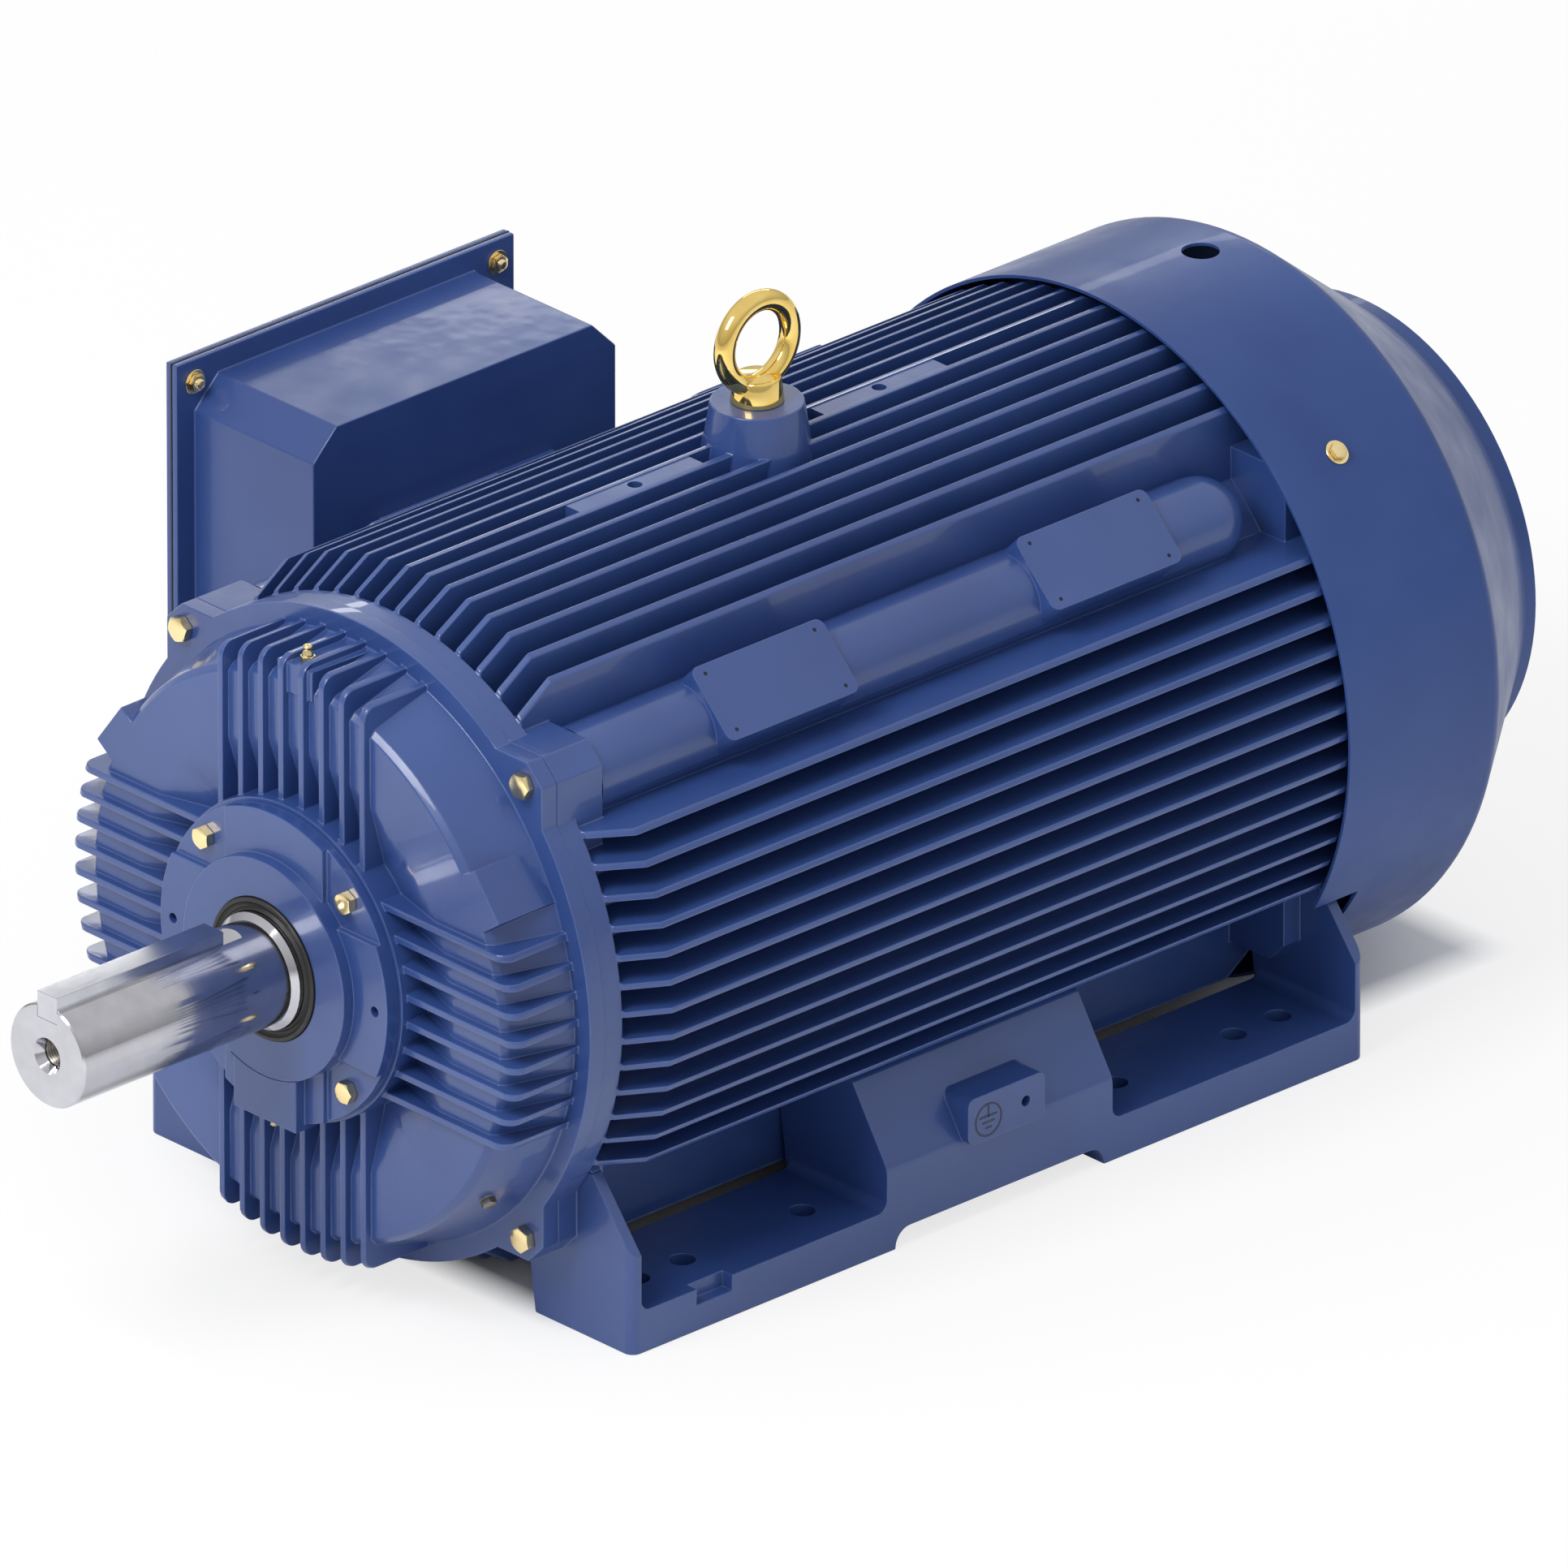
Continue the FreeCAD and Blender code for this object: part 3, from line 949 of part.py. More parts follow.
def cover_outline(inset):
    """(radius, station) corners of the cover, from its front edge, drawn in by an inset."""
    cover_r, mouth_r = s.cover_dia / 2 - inset, s.cover_mouth_dia / 2 - inset
    edge = s.cover_round
    corners = [(0, 0), (cover_r, 0)]
    for step in range(int(s.cover_round_steps) + 1):
        angle = math.radians(s.cover_round_turn * step / s.cover_round_steps)
        corners.append((cover_r - edge * (1 - math.cos(angle)),
                        s.cover_barrel - edge * (1 - math.sin(angle))))
    cone_end = s.cover_barrel + s.cover_cone
    return corners + [(mouth_r, cone_end), (mouth_r, cone_end + s.cover_lip), (0, cone_end + s.cover_lip)]


def cover_shape():
    """The fan cover, a spun sheet with a flat bottom, cut back over the feet."""
    length = s.cover_barrel + s.cover_cone + s.cover_lip
    wide = s.cover_dia
    floor = s.cover_base_gap - s.shaft_height
    outer = spun(cover_outline(0)).common(block(-wide, wide, -1, length + 1, floor, wide))
    inner = spun([(0, -1)] + cover_outline(s.cover_wall)[1:-1] + [(0, length)])
    inner = inner.common(block(-wide, wide, -2, length + 1, floor + s.cover_wall, wide))
    cutters = [
        inner,
        disc(s.cover_mouth_dia / 2 - s.cover_wall, length - 1, length + 1),
        disc(s.cover_dia / 2 - s.cover_wall, -1, 1).common(
            block(-wide, wide, -2, 2, floor + s.cover_wall, wide)),
        block(-wide, wide, -1, s.cover_cut, -wide, -s.cover_cut_drop),
        Part.makeCylinder(s.cover_port_dia / 2, s.cover_dia, Vector(0, s.cover_lap + s.cover_port_back, 0)),
    ]
    for x, z in four_corners(1):
        cutters.append(Part.makeCylinder(s.small_bolt_dia / 2 + s.bolt_gap, s.cover_dia,
                                         Vector(0, s.cover_lap + s.cover_bolt_back, 0), Vector(x, 0, z)))
    return outer.cut(Part.makeCompound(cutters)).removeSplitter()


def guard_shape():
    """The inlet guard, rings on crossed spokes inside the rim of the cover."""
    mouth_r = s.cover_mouth_dia / 2 - s.cover_wall
    wire = s.guard_wire
    pieces = []
    for index in range(int(s.guard_rings)):
        ring_r = mouth_r * (1 - index / s.guard_rings)
        pieces.append(disc(ring_r, 0, wire).cut(disc(ring_r - wire, -1, wire + 1)))
    for index in range(int(s.guard_spokes)):
        spoke = block(-mouth_r + wire / 2, mouth_r - wire / 2, 0, wire, -wire / 2, wire / 2)
        spoke.rotate(Vector(), Vector(0, 1, 0), 180 * index / s.guard_spokes)
        pieces.append(spoke)
    return pieces[0].multiFuse(pieces[1:]).removeSplitter()


def make_cover():
    """Fan cover and its inlet guard."""
    keep_shape("fan_cover", cover_shape(), along=f"{REAR} - cover_lap")
    keep_shape("inlet_guard", guard_shape(),
               along=f"{REAR} - cover_lap + cover_barrel + cover_cone + cover_lip - guard_wire")


def box_limits():
    """Half length, bottom and top of the terminal box, from the shaft axis."""
    lid_bottom = s.box_lid_top - s.box_lid_height
    return s.box_lid_length / 2 - s.box_rim, lid_bottom + s.box_rim, s.box_lid_top - s.box_rim


def cut_corner_prism(half, bottom, top, chamfer, near, far):
    """A solid along X whose section has four cut corners."""
    corners = [(half, bottom + chamfer), (half, top - chamfer),
               (half - chamfer, top), (chamfer - half, top),
               (-half, top - chamfer), (-half, bottom + chamfer),
               (chamfer - half, bottom), (half - chamfer, bottom)]
    wire = Part.makePolygon([Vector(near, y, z) for y, z in corners + corners[:1]])
    return Part.Face(wire).extrude(Vector(far - near, 0, 0))


def box_shape():
    """The terminal box, open under its lid, with its flange and openings."""
    half, bottom, top = box_limits()
    flange_face = -s.box_lid_outer + s.box_lid_wall + s.gasket_wall
    inner_face = -s.box_inner_face
    wall = s.box_wall
    lid_half, lid_bottom = s.box_lid_length / 2, s.box_lid_top - s.box_lid_height
    whole = cut_corner_prism(half, bottom, top, s.box_chamfer, inner_face, flange_face).fuse(
        block(flange_face, flange_face + s.box_flange, -lid_half, lid_half, lid_bottom, s.box_lid_top))
    lead_half = s.neck_half - s.lead_margin
    cutters = [
        cut_corner_prism(half - wall, bottom + wall, top - wall, s.box_chamfer,
                         inner_face - wall, flange_face - 1),
        block(inner_face - wall - 1, inner_face + 1, -lead_half, lead_half, s.lead_margin - s.neck_drop,
              s.neck_top - s.lead_margin),
        Part.makeCylinder(s.entry_dia / 2, 2 * wall,
                          Vector((flange_face + inner_face) / 2, 0, bottom - wall / 2)),
    ]
    for y, z in lid_bolt_places():
        cutters.append(Part.makeCylinder(s.small_bolt_dia / 2 + s.bolt_gap, s.box_flange + 2,
                                         Vector(flange_face - 1, y, z), Vector(1, 0, 0)))
    for y, z in seat_screw_places():
        cutters.append(Part.makeCylinder(s.small_bolt_dia / 2 + s.bolt_gap, wall + 2,
                                         Vector(inner_face - wall - 1, y - s.frame_offset, z),
                                         Vector(1, 0, 0)))
    return whole.cut(Part.makeCompound(cutters)).removeSplitter()


def lid_bolt_places():
    """The four lid bolts, from the middle of the box and the shaft axis."""
    inset = s.lid_bolt_inset
    half = s.box_lid_length / 2 - inset
    return [(sign * half, z) for sign in (-1, 1)
            for z in (s.box_lid_top - s.box_lid_height + inset, s.box_lid_top - inset)]


def neck_shape():
    """The hollow neck between the frame seat and the box."""
    lead_half = s.neck_half - s.lead_margin
    near, far = -s.box_inner_face, -s.neck_seat
    waist = (near + far) / 2
    edge = s.neck_wall / 2
    whole = block(near, far, -s.neck_half, s.neck_half, -s.neck_drop, s.neck_top)
    lower = block(waist - edge, waist + edge, -2 * s.neck_half, 2 * s.neck_half,
                  -3 * s.neck_drop, 2 * s.neck_top)
    core = block(near, far, -s.neck_half + edge, s.neck_half - edge, edge - s.neck_drop, s.neck_top - edge)
    whole = whole.cut(lower.cut(core))
    cutters = [block(near - 1, far + 1, -lead_half, lead_half, s.lead_margin - s.neck_drop,
                     s.neck_top - s.lead_margin)]
    for y, z in seat_screw_places():
        cutters.append(Part.makeCylinder(s.small_bolt_dia / 2 + s.bolt_gap, far - near + 2,
                                         Vector(near - 1, y - s.frame_offset, z), Vector(1, 0, 0)))
    return whole.cut(Part.makeCompound(cutters)).removeSplitter()


def lid_plate(label, near, wall):
    """A drilled plate the size of the lid, padded along X."""
    plate = doc.addObject("PartDesign::Body", label)
    pad = plate.newObject("PartDesign::Pad", f"{label}_pad")
    pad.Profile = outline_sketch(plate, f"{label}_outline", "YZ_Plane", box_corners(
        "-box_lid_length / 2", "box_lid_length / 2", "box_lid_top - box_lid_height", "box_lid_top"))
    pad.setExpression("Length", bound(wall))
    for index, (y, z) in enumerate((
            ("-(box_lid_length / 2 - lid_bolt_inset)", "box_lid_top - lid_bolt_inset"),
            ("box_lid_length / 2 - lid_bolt_inset", "box_lid_top - lid_bolt_inset"),
            ("-(box_lid_length / 2 - lid_bolt_inset)", "box_lid_top - box_lid_height + lid_bolt_inset"),
            ("box_lid_length / 2 - lid_bolt_inset", "box_lid_top - box_lid_height + lid_bolt_inset"))):
        hole = plate.newObject("PartDesign::Pocket", f"{label}_hole_{index + 1}")
        hole.Profile = circle_sketch(plate, f"{label}_hole_circle_{index + 1}", "YZ_Plane", (y, z),
                                     "small_bolt_dia + 2 * bolt_gap")
        hole.Type = 1
        hole.Midplane = True
    keep(plate, along="frame_offset", across=near)


def terminal_block_shape():
    """Insulating block with six studs."""
    near = -s.box_inner_face - s.box_wall
    half = s.block_length / 2
    low, high = s.block_rise, s.block_rise + s.block_height
    base = block(near - s.block_depth, near, -half, half, low, high)
    studs = []
    for column in (-1, 0, 1):
        for z in (low + s.block_height / 4, high - s.block_height / 4):
            foot = Vector(near - s.block_depth, column * s.stud_pitch, z)
            studs.append(Part.makeCylinder(s.stud_dia / 2, s.stud_height, foot, Vector(-1, 0, 0)))
    return base.multiFuse(studs)


def make_terminal_box():
    """Terminal box on the side of the frame, with its neck, gasket, lid and block."""
    keep_shape("box_neck", neck_shape(), along="frame_offset")
    keep_shape("terminal_box", box_shape(), along="frame_offset")
    lid_plate("lid_gasket", "-box_lid_outer + box_lid_wall", "gasket_wall")
    lid_plate("terminal_lid", "-box_lid_outer", "box_lid_wall")
    keep_shape("terminal_block", terminal_block_shape(), along="frame_offset")


def bolt(label, flats, head, shank, length, across, along, up, turn):
    """A hexagon-head bolt whose seat is at the given place; it is turned from pointing down."""
    prism_head = doc.addObject("Part::Prism", f"{label}_head")
    prism_head.Polygon = 6
    prism_head.setExpression("Circumradius", bound(f"{flats} * tan(30)"))
    prism_head.setExpression("Height", bound(head))
    stem = doc.addObject("Part::Cylinder", f"{label}_shank")
    stem.setExpression("Radius", bound(f"{shank} / 2"))
    stem.setExpression("Height", bound(f"{length} + {head} / 2"))
    stem.setExpression("Placement.Base.z", bound(f"-({length})"))
    whole = doc.addObject("Part::Fuse", label)
    whole.Base = prism_head
    whole.Tool = stem
    keep(whole, along=along, turn=turn, across=across, up=f"shaft_height + ({up})")


def bolt_set(offset, flats, head, shank, length):
    """Four hexagon-head bolts about the shaft axis, heads towards +Y, hidden by the fan cover."""
    bolts = []
    corner_r = flats / math.sqrt(3)
    for x, z in four_corners(offset):
        angles = [math.radians(60 * turn) for turn in range(6)]
        corners = [(x + corner_r * math.cos(angle), z + corner_r * math.sin(angle)) for angle in angles]
        stem = Part.makeCylinder(shank / 2, length + head / 2, Vector(x, -length, z), Vector(0, 1, 0))
        bolts.append(prism(corners, 0, head).fuse(stem))
    return Part.makeCompound(bolts)


def make_fasteners():
    """Every bolt of the motor, from the same places as its hole."""
    toward_drive = Rotation(Vector(0, 0, 1), Vector(0, -1, 0))
    signs = [(x, z) for x in ("-", "") for z in ("-", "")]
    cap_offset = "cap_circle / 2 * cos(45)"
    for index, (x, z) in enumerate(signs, start=1):
        bolt(f"drive_end_shield_bolt_{index}", "ear_bolt_flats", "ear_bolt_head", "ear_bolt_dia",
             "shield_ring + ear_bolt_grip - spring_wire", f"{x}ear_bolt", f"{FRONT} - shield_ring",
             f"{z}ear_bolt", toward_drive)
        bolt(f"drive_end_cap_bolt_{index}", "cap_bolt_flats", "cap_bolt_head", "cap_bolt_dia",
             "cap_plate - cap_relief + hub_length + inner_cap_plate", f"{x}{cap_offset}",
             f"{FRONT} - hub_reach - cap_plate + cap_relief", f"{z}{cap_offset}", toward_drive)
        outward = Rotation(Vector(0, 0, 1), Vector(-1 if x else 1, 0, -1 if z else 1))
        bolt(f"cover_bolt_{index}", "small_bolt_flats", "small_bolt_head", "small_bolt_dia",
             "small_bolt_grip", f"{x}cover_dia / 2 * cos(45)", f"{REAR} + cover_bolt_back",
             f"{z}cover_dia / 2 * cos(45)", outward)
        up = "box_lid_top - box_lid_height + lid_bolt_inset" if z else "box_lid_top - lid_bolt_inset"
        bolt(f"lid_bolt_{index}", "small_bolt_flats", "small_bolt_head", "small_bolt_dia",
             "box_flange + gasket_wall + box_lid_wall",
             "-box_lid_outer + box_lid_wall + gasket_wall + box_flange",
             f"frame_offset + {x}1 * (box_lid_length / 2 - lid_bolt_inset)", up,
             Rotation(Vector(0, 0, 1), Vector(1, 0, 0)))
    keep_shape("fan_end_shield_bolts", bolt_set(
        s.ear_bolt, s.ear_bolt_flats, s.ear_bolt_head, s.ear_bolt_dia,
        s.rear_ring + s.ear_bolt_grip - s.spring_wire), along=f"{REAR} + rear_ring")
    keep_shape("fan_end_cap_bolts", bolt_set(
        s.cap_circle / 2 / math.sqrt(2), s.cap_bolt_flats, s.cap_bolt_head, s.cap_bolt_dia,
        s.cap_plate + s.rear_hub_length + s.inner_cap_plate), along=f"{REAR} + rear_hub_reach + cap_plate")
    screws = []
    head_seat = -s.box_inner_face - s.box_wall
    for y, z in seat_screw_places():
        length = s.box_wall + s.box_inner_face - s.neck_seat + s.small_bolt_grip - 2
        screws.append(Part.makeCylinder(s.small_bolt_flats / 2, s.small_bolt_head, Vector(head_seat, y, z),
                                        Vector(-1, 0, 0)).fuse(
            Part.makeCylinder(s.small_bolt_dia / 2, length, Vector(head_seat, y, z), Vector(1, 0, 0))))
    keep_shape("neck_screws", Part.makeCompound(screws))


def make_eyebolt():
    """The lifting eye: ring, collar and shank."""
    ring = doc.addObject("Part::Torus", "eye_ring")
    ring.setExpression("Radius1", bound("eye_dia / 2"))
    ring.setExpression("Radius2", bound("eye_wire / 2"))
    ring.Placement = Placement(Vector(), Rotation(Vector(0, 1, 0), 90))
    ring.setExpression("Placement.Base.z", bound("eye_centre - boss_height"))
    collar = doc.addObject("Part::Cone", "eye_collar_solid")
    collar.setExpression("Radius1", bound("eye_collar_dia / 2"))
    collar.setExpression("Radius2", bound("eye_collar_top_dia / 2"))
    collar.setExpression("Height", bound("eye_collar"))
    shank = doc.addObject("Part::Cylinder", "eye_shank_solid")
    shank.setExpression("Radius", bound("eye_shank_dia / 2"))
    shank.setExpression("Height", bound("eye_shank + eye_collar / 2"))
    shank.setExpression("Placement.Base.z", bound("-eye_shank"))
    whole = doc.addObject("Part::MultiFuse", "eyebolt")
    whole.Shapes = [ring, collar, shank]
    keep(whole, along="frame_offset", up="shaft_height + boss_height")


def make_fittings():
    """Grease fittings, grease outlet plug and rating plate."""
    to_top = Rotation(Vector(1, 0, 0), 90)
    for end, along, turn in (
            ("drive_end", f"{FRONT} - drum_reach + fitting_back", FORWARD),
            ("fan_end", f"{REAR} + rear_drum_reach - fitting_back", FORWARD)):
        fitting = turned(f"{end}_grease_fitting", [
            ("0", "-fitting_thread"), ("fitting_dia / 4", "-fitting_thread"), ("fitting_dia / 4", "0"),
            ("fitting_dia / 2", "0"), ("fitting_dia / 2", "fitting_height / 3"),
            ("fitting_dia / 4", "fitting_height / 2"), ("fitting_dia / 4", "fitting_height * 0.8"),
            ("fitting_dia / 6", "fitting_height"), ("0", "fitting_height")])
        keep(fitting, along=along, turn=to_top, up="shaft_height + grease_pad_top")
    bolt("grease_outlet_plug", "plug_flats", "plug_height", "fitting_dia / 2", "fitting_thread",
         "0", f"{FRONT} - hub_reach - (cap_plate + cap_boss) / 2", "-cap_grease_drop",
         Rotation(Vector(0, 0, 1), Vector(0, 0, -1)))
    plate = doc.addObject("Part::Box", "rating_plate")
    plate.setExpression("Length", bound("plate_width"))
    plate.setExpression("Width", bound("plate_length"))
    plate.setExpression("Height", bound("plate_wall"))
    face = "corner_pad_flat * cos(45)"
    half = "plate_width / 2 * cos(45)"
    keep(plate, along="frame_offset - corner_pad_pitch / 2 - plate_length / 2",
         turn=Rotation(Vector(0, 1, 0), -45), across=f"-{face} - {half}",
         up=f"shaft_height + {face} - {half}")


def main():
    """Build every sub-part, check it and write its file."""
    make_castings()
    make_caps()
    make_bearings()
    make_shaft()
    make_cores()
    make_fan()
    make_cover()
    make_terminal_box()
    make_fasteners()
    make_eyebolt()
    make_fittings()
    doc.recompute()
    for item in doc.Objects:
        if "Invalid" in item.State or "Error" in item.State:
            raise RuntimeError(f"{item.Label} did not build: {item.State}")
    os.makedirs("parts", exist_ok=True)
    for item in SUB_PARTS:
        if item.Shape.isNull() or not item.Shape.isValid():
            raise RuntimeError(f"{item.Label} is not a sound solid")
        item.Shape.exportStep(f"parts/{item.Label}.step")
    print(len(SUB_PARTS), "sub-parts written")


main()
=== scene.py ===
"""Looks of a foot-mounted, fan-cooled three-phase motor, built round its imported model."""

import json
import logging
import math
from collections.abc import Sequence
from dataclasses import dataclass
from enum import Enum
from typing import Optional

import bmesh
import bpy
from mathutils import Matrix, Quaternion, Vector


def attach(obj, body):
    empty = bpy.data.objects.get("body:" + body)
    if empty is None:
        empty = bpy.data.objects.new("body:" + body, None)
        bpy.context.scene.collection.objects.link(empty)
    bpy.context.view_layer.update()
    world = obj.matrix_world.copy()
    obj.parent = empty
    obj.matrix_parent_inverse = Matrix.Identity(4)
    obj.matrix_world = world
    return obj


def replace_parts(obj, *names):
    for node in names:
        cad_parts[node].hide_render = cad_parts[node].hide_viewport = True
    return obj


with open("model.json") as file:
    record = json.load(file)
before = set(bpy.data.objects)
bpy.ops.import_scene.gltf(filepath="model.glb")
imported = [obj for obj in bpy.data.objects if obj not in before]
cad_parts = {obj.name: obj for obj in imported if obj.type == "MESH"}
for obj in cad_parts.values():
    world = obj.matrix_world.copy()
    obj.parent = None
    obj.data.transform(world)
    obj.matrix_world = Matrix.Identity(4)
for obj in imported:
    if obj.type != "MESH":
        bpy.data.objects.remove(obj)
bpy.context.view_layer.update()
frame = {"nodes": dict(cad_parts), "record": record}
LOG = logging.getLogger("motor")

Colour = tuple[float, float, float]
Point = tuple[float, float, float]
Profile = Sequence[tuple[float, float]]
Shape = bmesh.types.BMesh
Socket = bpy.types.NodeSocket

MM = 0.001

# Places that several parts share, in millimetres: the height of the shaft axis and stations along it.
AXIS_HEIGHT = 279.4
FRAME_FRONT = -385.9
FRAME_REAR = 434.1
FRAME_MIDDLE = (FRAME_FRONT + FRAME_REAR) / 2
SHAFT_END = -723.9

# Nearly all values of a noise pattern lie between these two.
NOISE_LOW = 0.3
NOISE_HIGH = 0.7

# Cosines between a rounded normal and the true one, where the lighter edge colour (part edge wear, part
# painted highlight) starts and where it is full.
EDGE_LIGHTENING_STARTS = 0.995
EDGE_LIGHTENING_FULL = 0.75

# Edges of a new piece that turn by more degrees than this stay crisp.
SHARP_TURN = 40.0

# Points of a shape that are closer together than this, in metres, are merged.
SAME_POINT = 0.001 * MM

# Facets in the quarter turn of a plate's corner.
CORNER_STEPS = 6

# The four corners of a square, as signs of its two sides.
CORNERS = ((-1, -1), (-1, 1), (1, -1), (1, 1))


class Body(Enum):
    """The rigid bodies that carry new pieces."""

    HOUSING = "housing"
    ROTOR = "rotor"


class Slot(Enum):
    """The material slots of the record."""

    BLUE = "blue_paint"
    ZINC = "yellow_zinc"
    STEEL = "machined_steel"
    BEARING = "bearing_steel"
    CORE = "core_steel"
    COPPER = "winding_copper"
    RUBBER = "black_rubber"
    FAN = "black_plastic"
    BLOCK = "terminal_plastic"
    PLATE = "plate_metal"
    CAGE = "cage_aluminium"


def linear(colour: Colour) -> tuple[float, float, float, float]:
    """Turn a display colour into the linear colour that shaders take.

    Args:
        colour: Red, green and blue from 0 to 255, as seen on a screen.

    Returns:
        Linear red, green, blue and an alpha of 1.
    """
    parts = []
    for part in colour:
        share = part / 255
        parts.append(share / 12.92 if share <= 0.04045 else ((share + 0.055) / 1.055) ** 2.4)
    return (parts[0], parts[1], parts[2], 1.0)


class Shader:
    """A material's node tree, with the few moves that the finishes share."""

    def __init__(self, name: str) -> None:
        """Start an empty tree with an output and a surface shader.

        Args:
            name: The material's name.
        """
        self.material = bpy.data.materials.new(name)
        self.material.use_nodes = True
        self.tree = self.material.node_tree
        self.tree.nodes.clear()
        self.output = self.tree.nodes.new("ShaderNodeOutputMaterial")
        self.surface = self.tree.nodes.new("ShaderNodeBsdfPrincipled")
        self.join(self.surface.outputs["BSDF"], self.output.inputs["Surface"])
        self.place = self.tree.nodes.new("ShaderNodeTexCoord").outputs["Object"]

    def join(self, source: Socket, target: Socket) -> None:
        """Link an output to an input."""
        self.tree.links.new(source, target)

    def settings(self, **values: float | tuple[float, ...]) -> None:
        """Set the surface shader's own sockets; an underscore stands for a space.

        Args:
            values: Socket names with their values.
        """
        for name, value in values.items():
            self.surface.inputs[name.replace("_", " ")].default_value = value

    def stretched(self, scale: Point) -> Socket:
        """Object coordinates scaled along each axis.

        Args:
            scale: The three factors.

        Returns:
            The scaled coordinates.
        """
        node = self.tree.nodes.new("ShaderNodeMapping")
        node.inputs["Scale"].default_value = scale
        self.join(self.place, node.inputs["Vector"])
        return node.outputs["Vector"]

    def turned_place(self, scale: Point) -> Socket:
        """Coordinates that follow the shaft: distance from its axis and station along it.

        Args:
            scale: Factors for the distance, the station and the turn about the axis.

        Returns:
            The scaled coordinates.
        """
        parts = self.tree.nodes.new("ShaderNodeSeparateXYZ")
        self.join(self.place, parts.inputs["Vector"])
        rise = self.math("SUBTRACT", parts.outputs["Z"], AXIS_HEIGHT * MM)
        flat = parts.outputs["X"]
        square = self.math("ADD", self.math("MULTIPLY", flat, flat), self.math("MULTIPLY", rise, rise))
        radius = self.math("SQRT", square, 0.0)
        turn = self.math("ARCTAN2", rise, flat)
        whole = self.tree.nodes.new("ShaderNodeCombineXYZ")
        for value, factor, name in zip((radius, parts.outputs["Y"], turn), scale, "XYZ"):
            self.join(self.math("MULTIPLY", value, factor), whole.inputs[name])
        return whole.outputs["Vector"]

    def noise(self, scale: float, detail: float, place: Optional[Socket] = None) -> Socket:
        """A noise pattern in object space.

        Args:
            scale: Grains per metre.
            detail: Octaves of finer grain.
            place: Coordinates to use instead of plain object space.

        Returns:
            The pattern, around one half.
        """
        node = self.tree.nodes.new("ShaderNodeTexNoise")
        node.inputs["Scale"].default_value = scale
        node.inputs["Detail"].default_value = detail
        self.join(place or self.place, node.inputs["Vector"])
        return node.outputs["Fac"]

    def remap(self, value: Socket, low: float, high: float,
              start: float = 0.0, end: float = 1.0) -> Socket:
        """Spread a stretch of values over another, and clamp it.

        Args:
            value: The values.
            low: The value that gives start.
            high: The value that gives end.
            start: The first new value.
            end: The last new value.

        Returns:
            The new values.
        """
        node = self.tree.nodes.new("ShaderNodeMapRange")
        for name, number in (("From Min", low), ("From Max", high), ("To Min", start), ("To Max", end)):
            node.inputs[name].default_value = number
        self.join(value, node.inputs["Value"])
        return node.outputs["Result"]

    def math(self, kind: str, first: Socket, second: Socket | float) -> Socket:
        """A sum, product or other simple function of two values, by Blender's name for it."""
        node = self.tree.nodes.new("ShaderNodeMath")
        node.operation = kind
        self.join(first, node.inputs[0])
        if isinstance(second, (int, float)):
            node.inputs[1].default_value = second
        else:
            self.join(second, node.inputs[1])
        return node.outputs["Value"]

    def blend(self, share: Socket, first: Colour | Socket, second: Colour) -> Socket:
        """Mix two colours.

        Args:
            share: 0 for the first colour, 1 for the second.
            first: A display colour or a colour output.
            second: A display colour.

        Returns:
            The mixed colour.
        """
        node = self.tree.nodes.new("ShaderNodeMix")
        node.data_type = "RGBA"
        self.join(share, node.inputs["Factor"])
        if isinstance(first, tuple):
            node.inputs["A"].default_value = linear(first)
        else:
            self.join(first, node.inputs["A"])
        node.inputs["B"].default_value = linear(second)
        return node.outputs["Result"]

    def edges(self, radius: float) -> Socket:
        """How close the surface is to one of its edges.

        Args:
            radius: How far from an edge the mask reaches, in metres.

        Returns:
            0 on flat stretches, rising to about 1 at an edge.
        """
        bevel = self.tree.nodes.new("ShaderNodeBevel")
        bevel.samples = 4
        bevel.inputs["Radius"].default_value = radius
        normal = self.tree.nodes.new("ShaderNodeNewGeometry").outputs["Normal"]
        dot = self.tree.nodes.new("ShaderNodeVectorMath")
        dot.operation = "DOT_PRODUCT"
        self.join(bevel.outputs["Normal"], dot.inputs[0])
        self.join(normal, dot.inputs[1])
        return self.remap(dot.outputs["Value"], EDGE_LIGHTENING_STARTS, EDGE_LIGHTENING_FULL)

    def bump(self, height: Socket, depth: float) -> Socket:
        """Small relief from a pattern.

        Args:
            height: The pattern.
            depth: Its depth in metres.

        Returns:
            The bent normal.
        """
        node = self.tree.nodes.new("ShaderNodeBump")
        node.inputs["Strength"].default_value = 1.0
        node.inputs["Distance"].default_value = depth
        self.join(height, node.inputs["Height"])
        return node.outputs["Normal"]


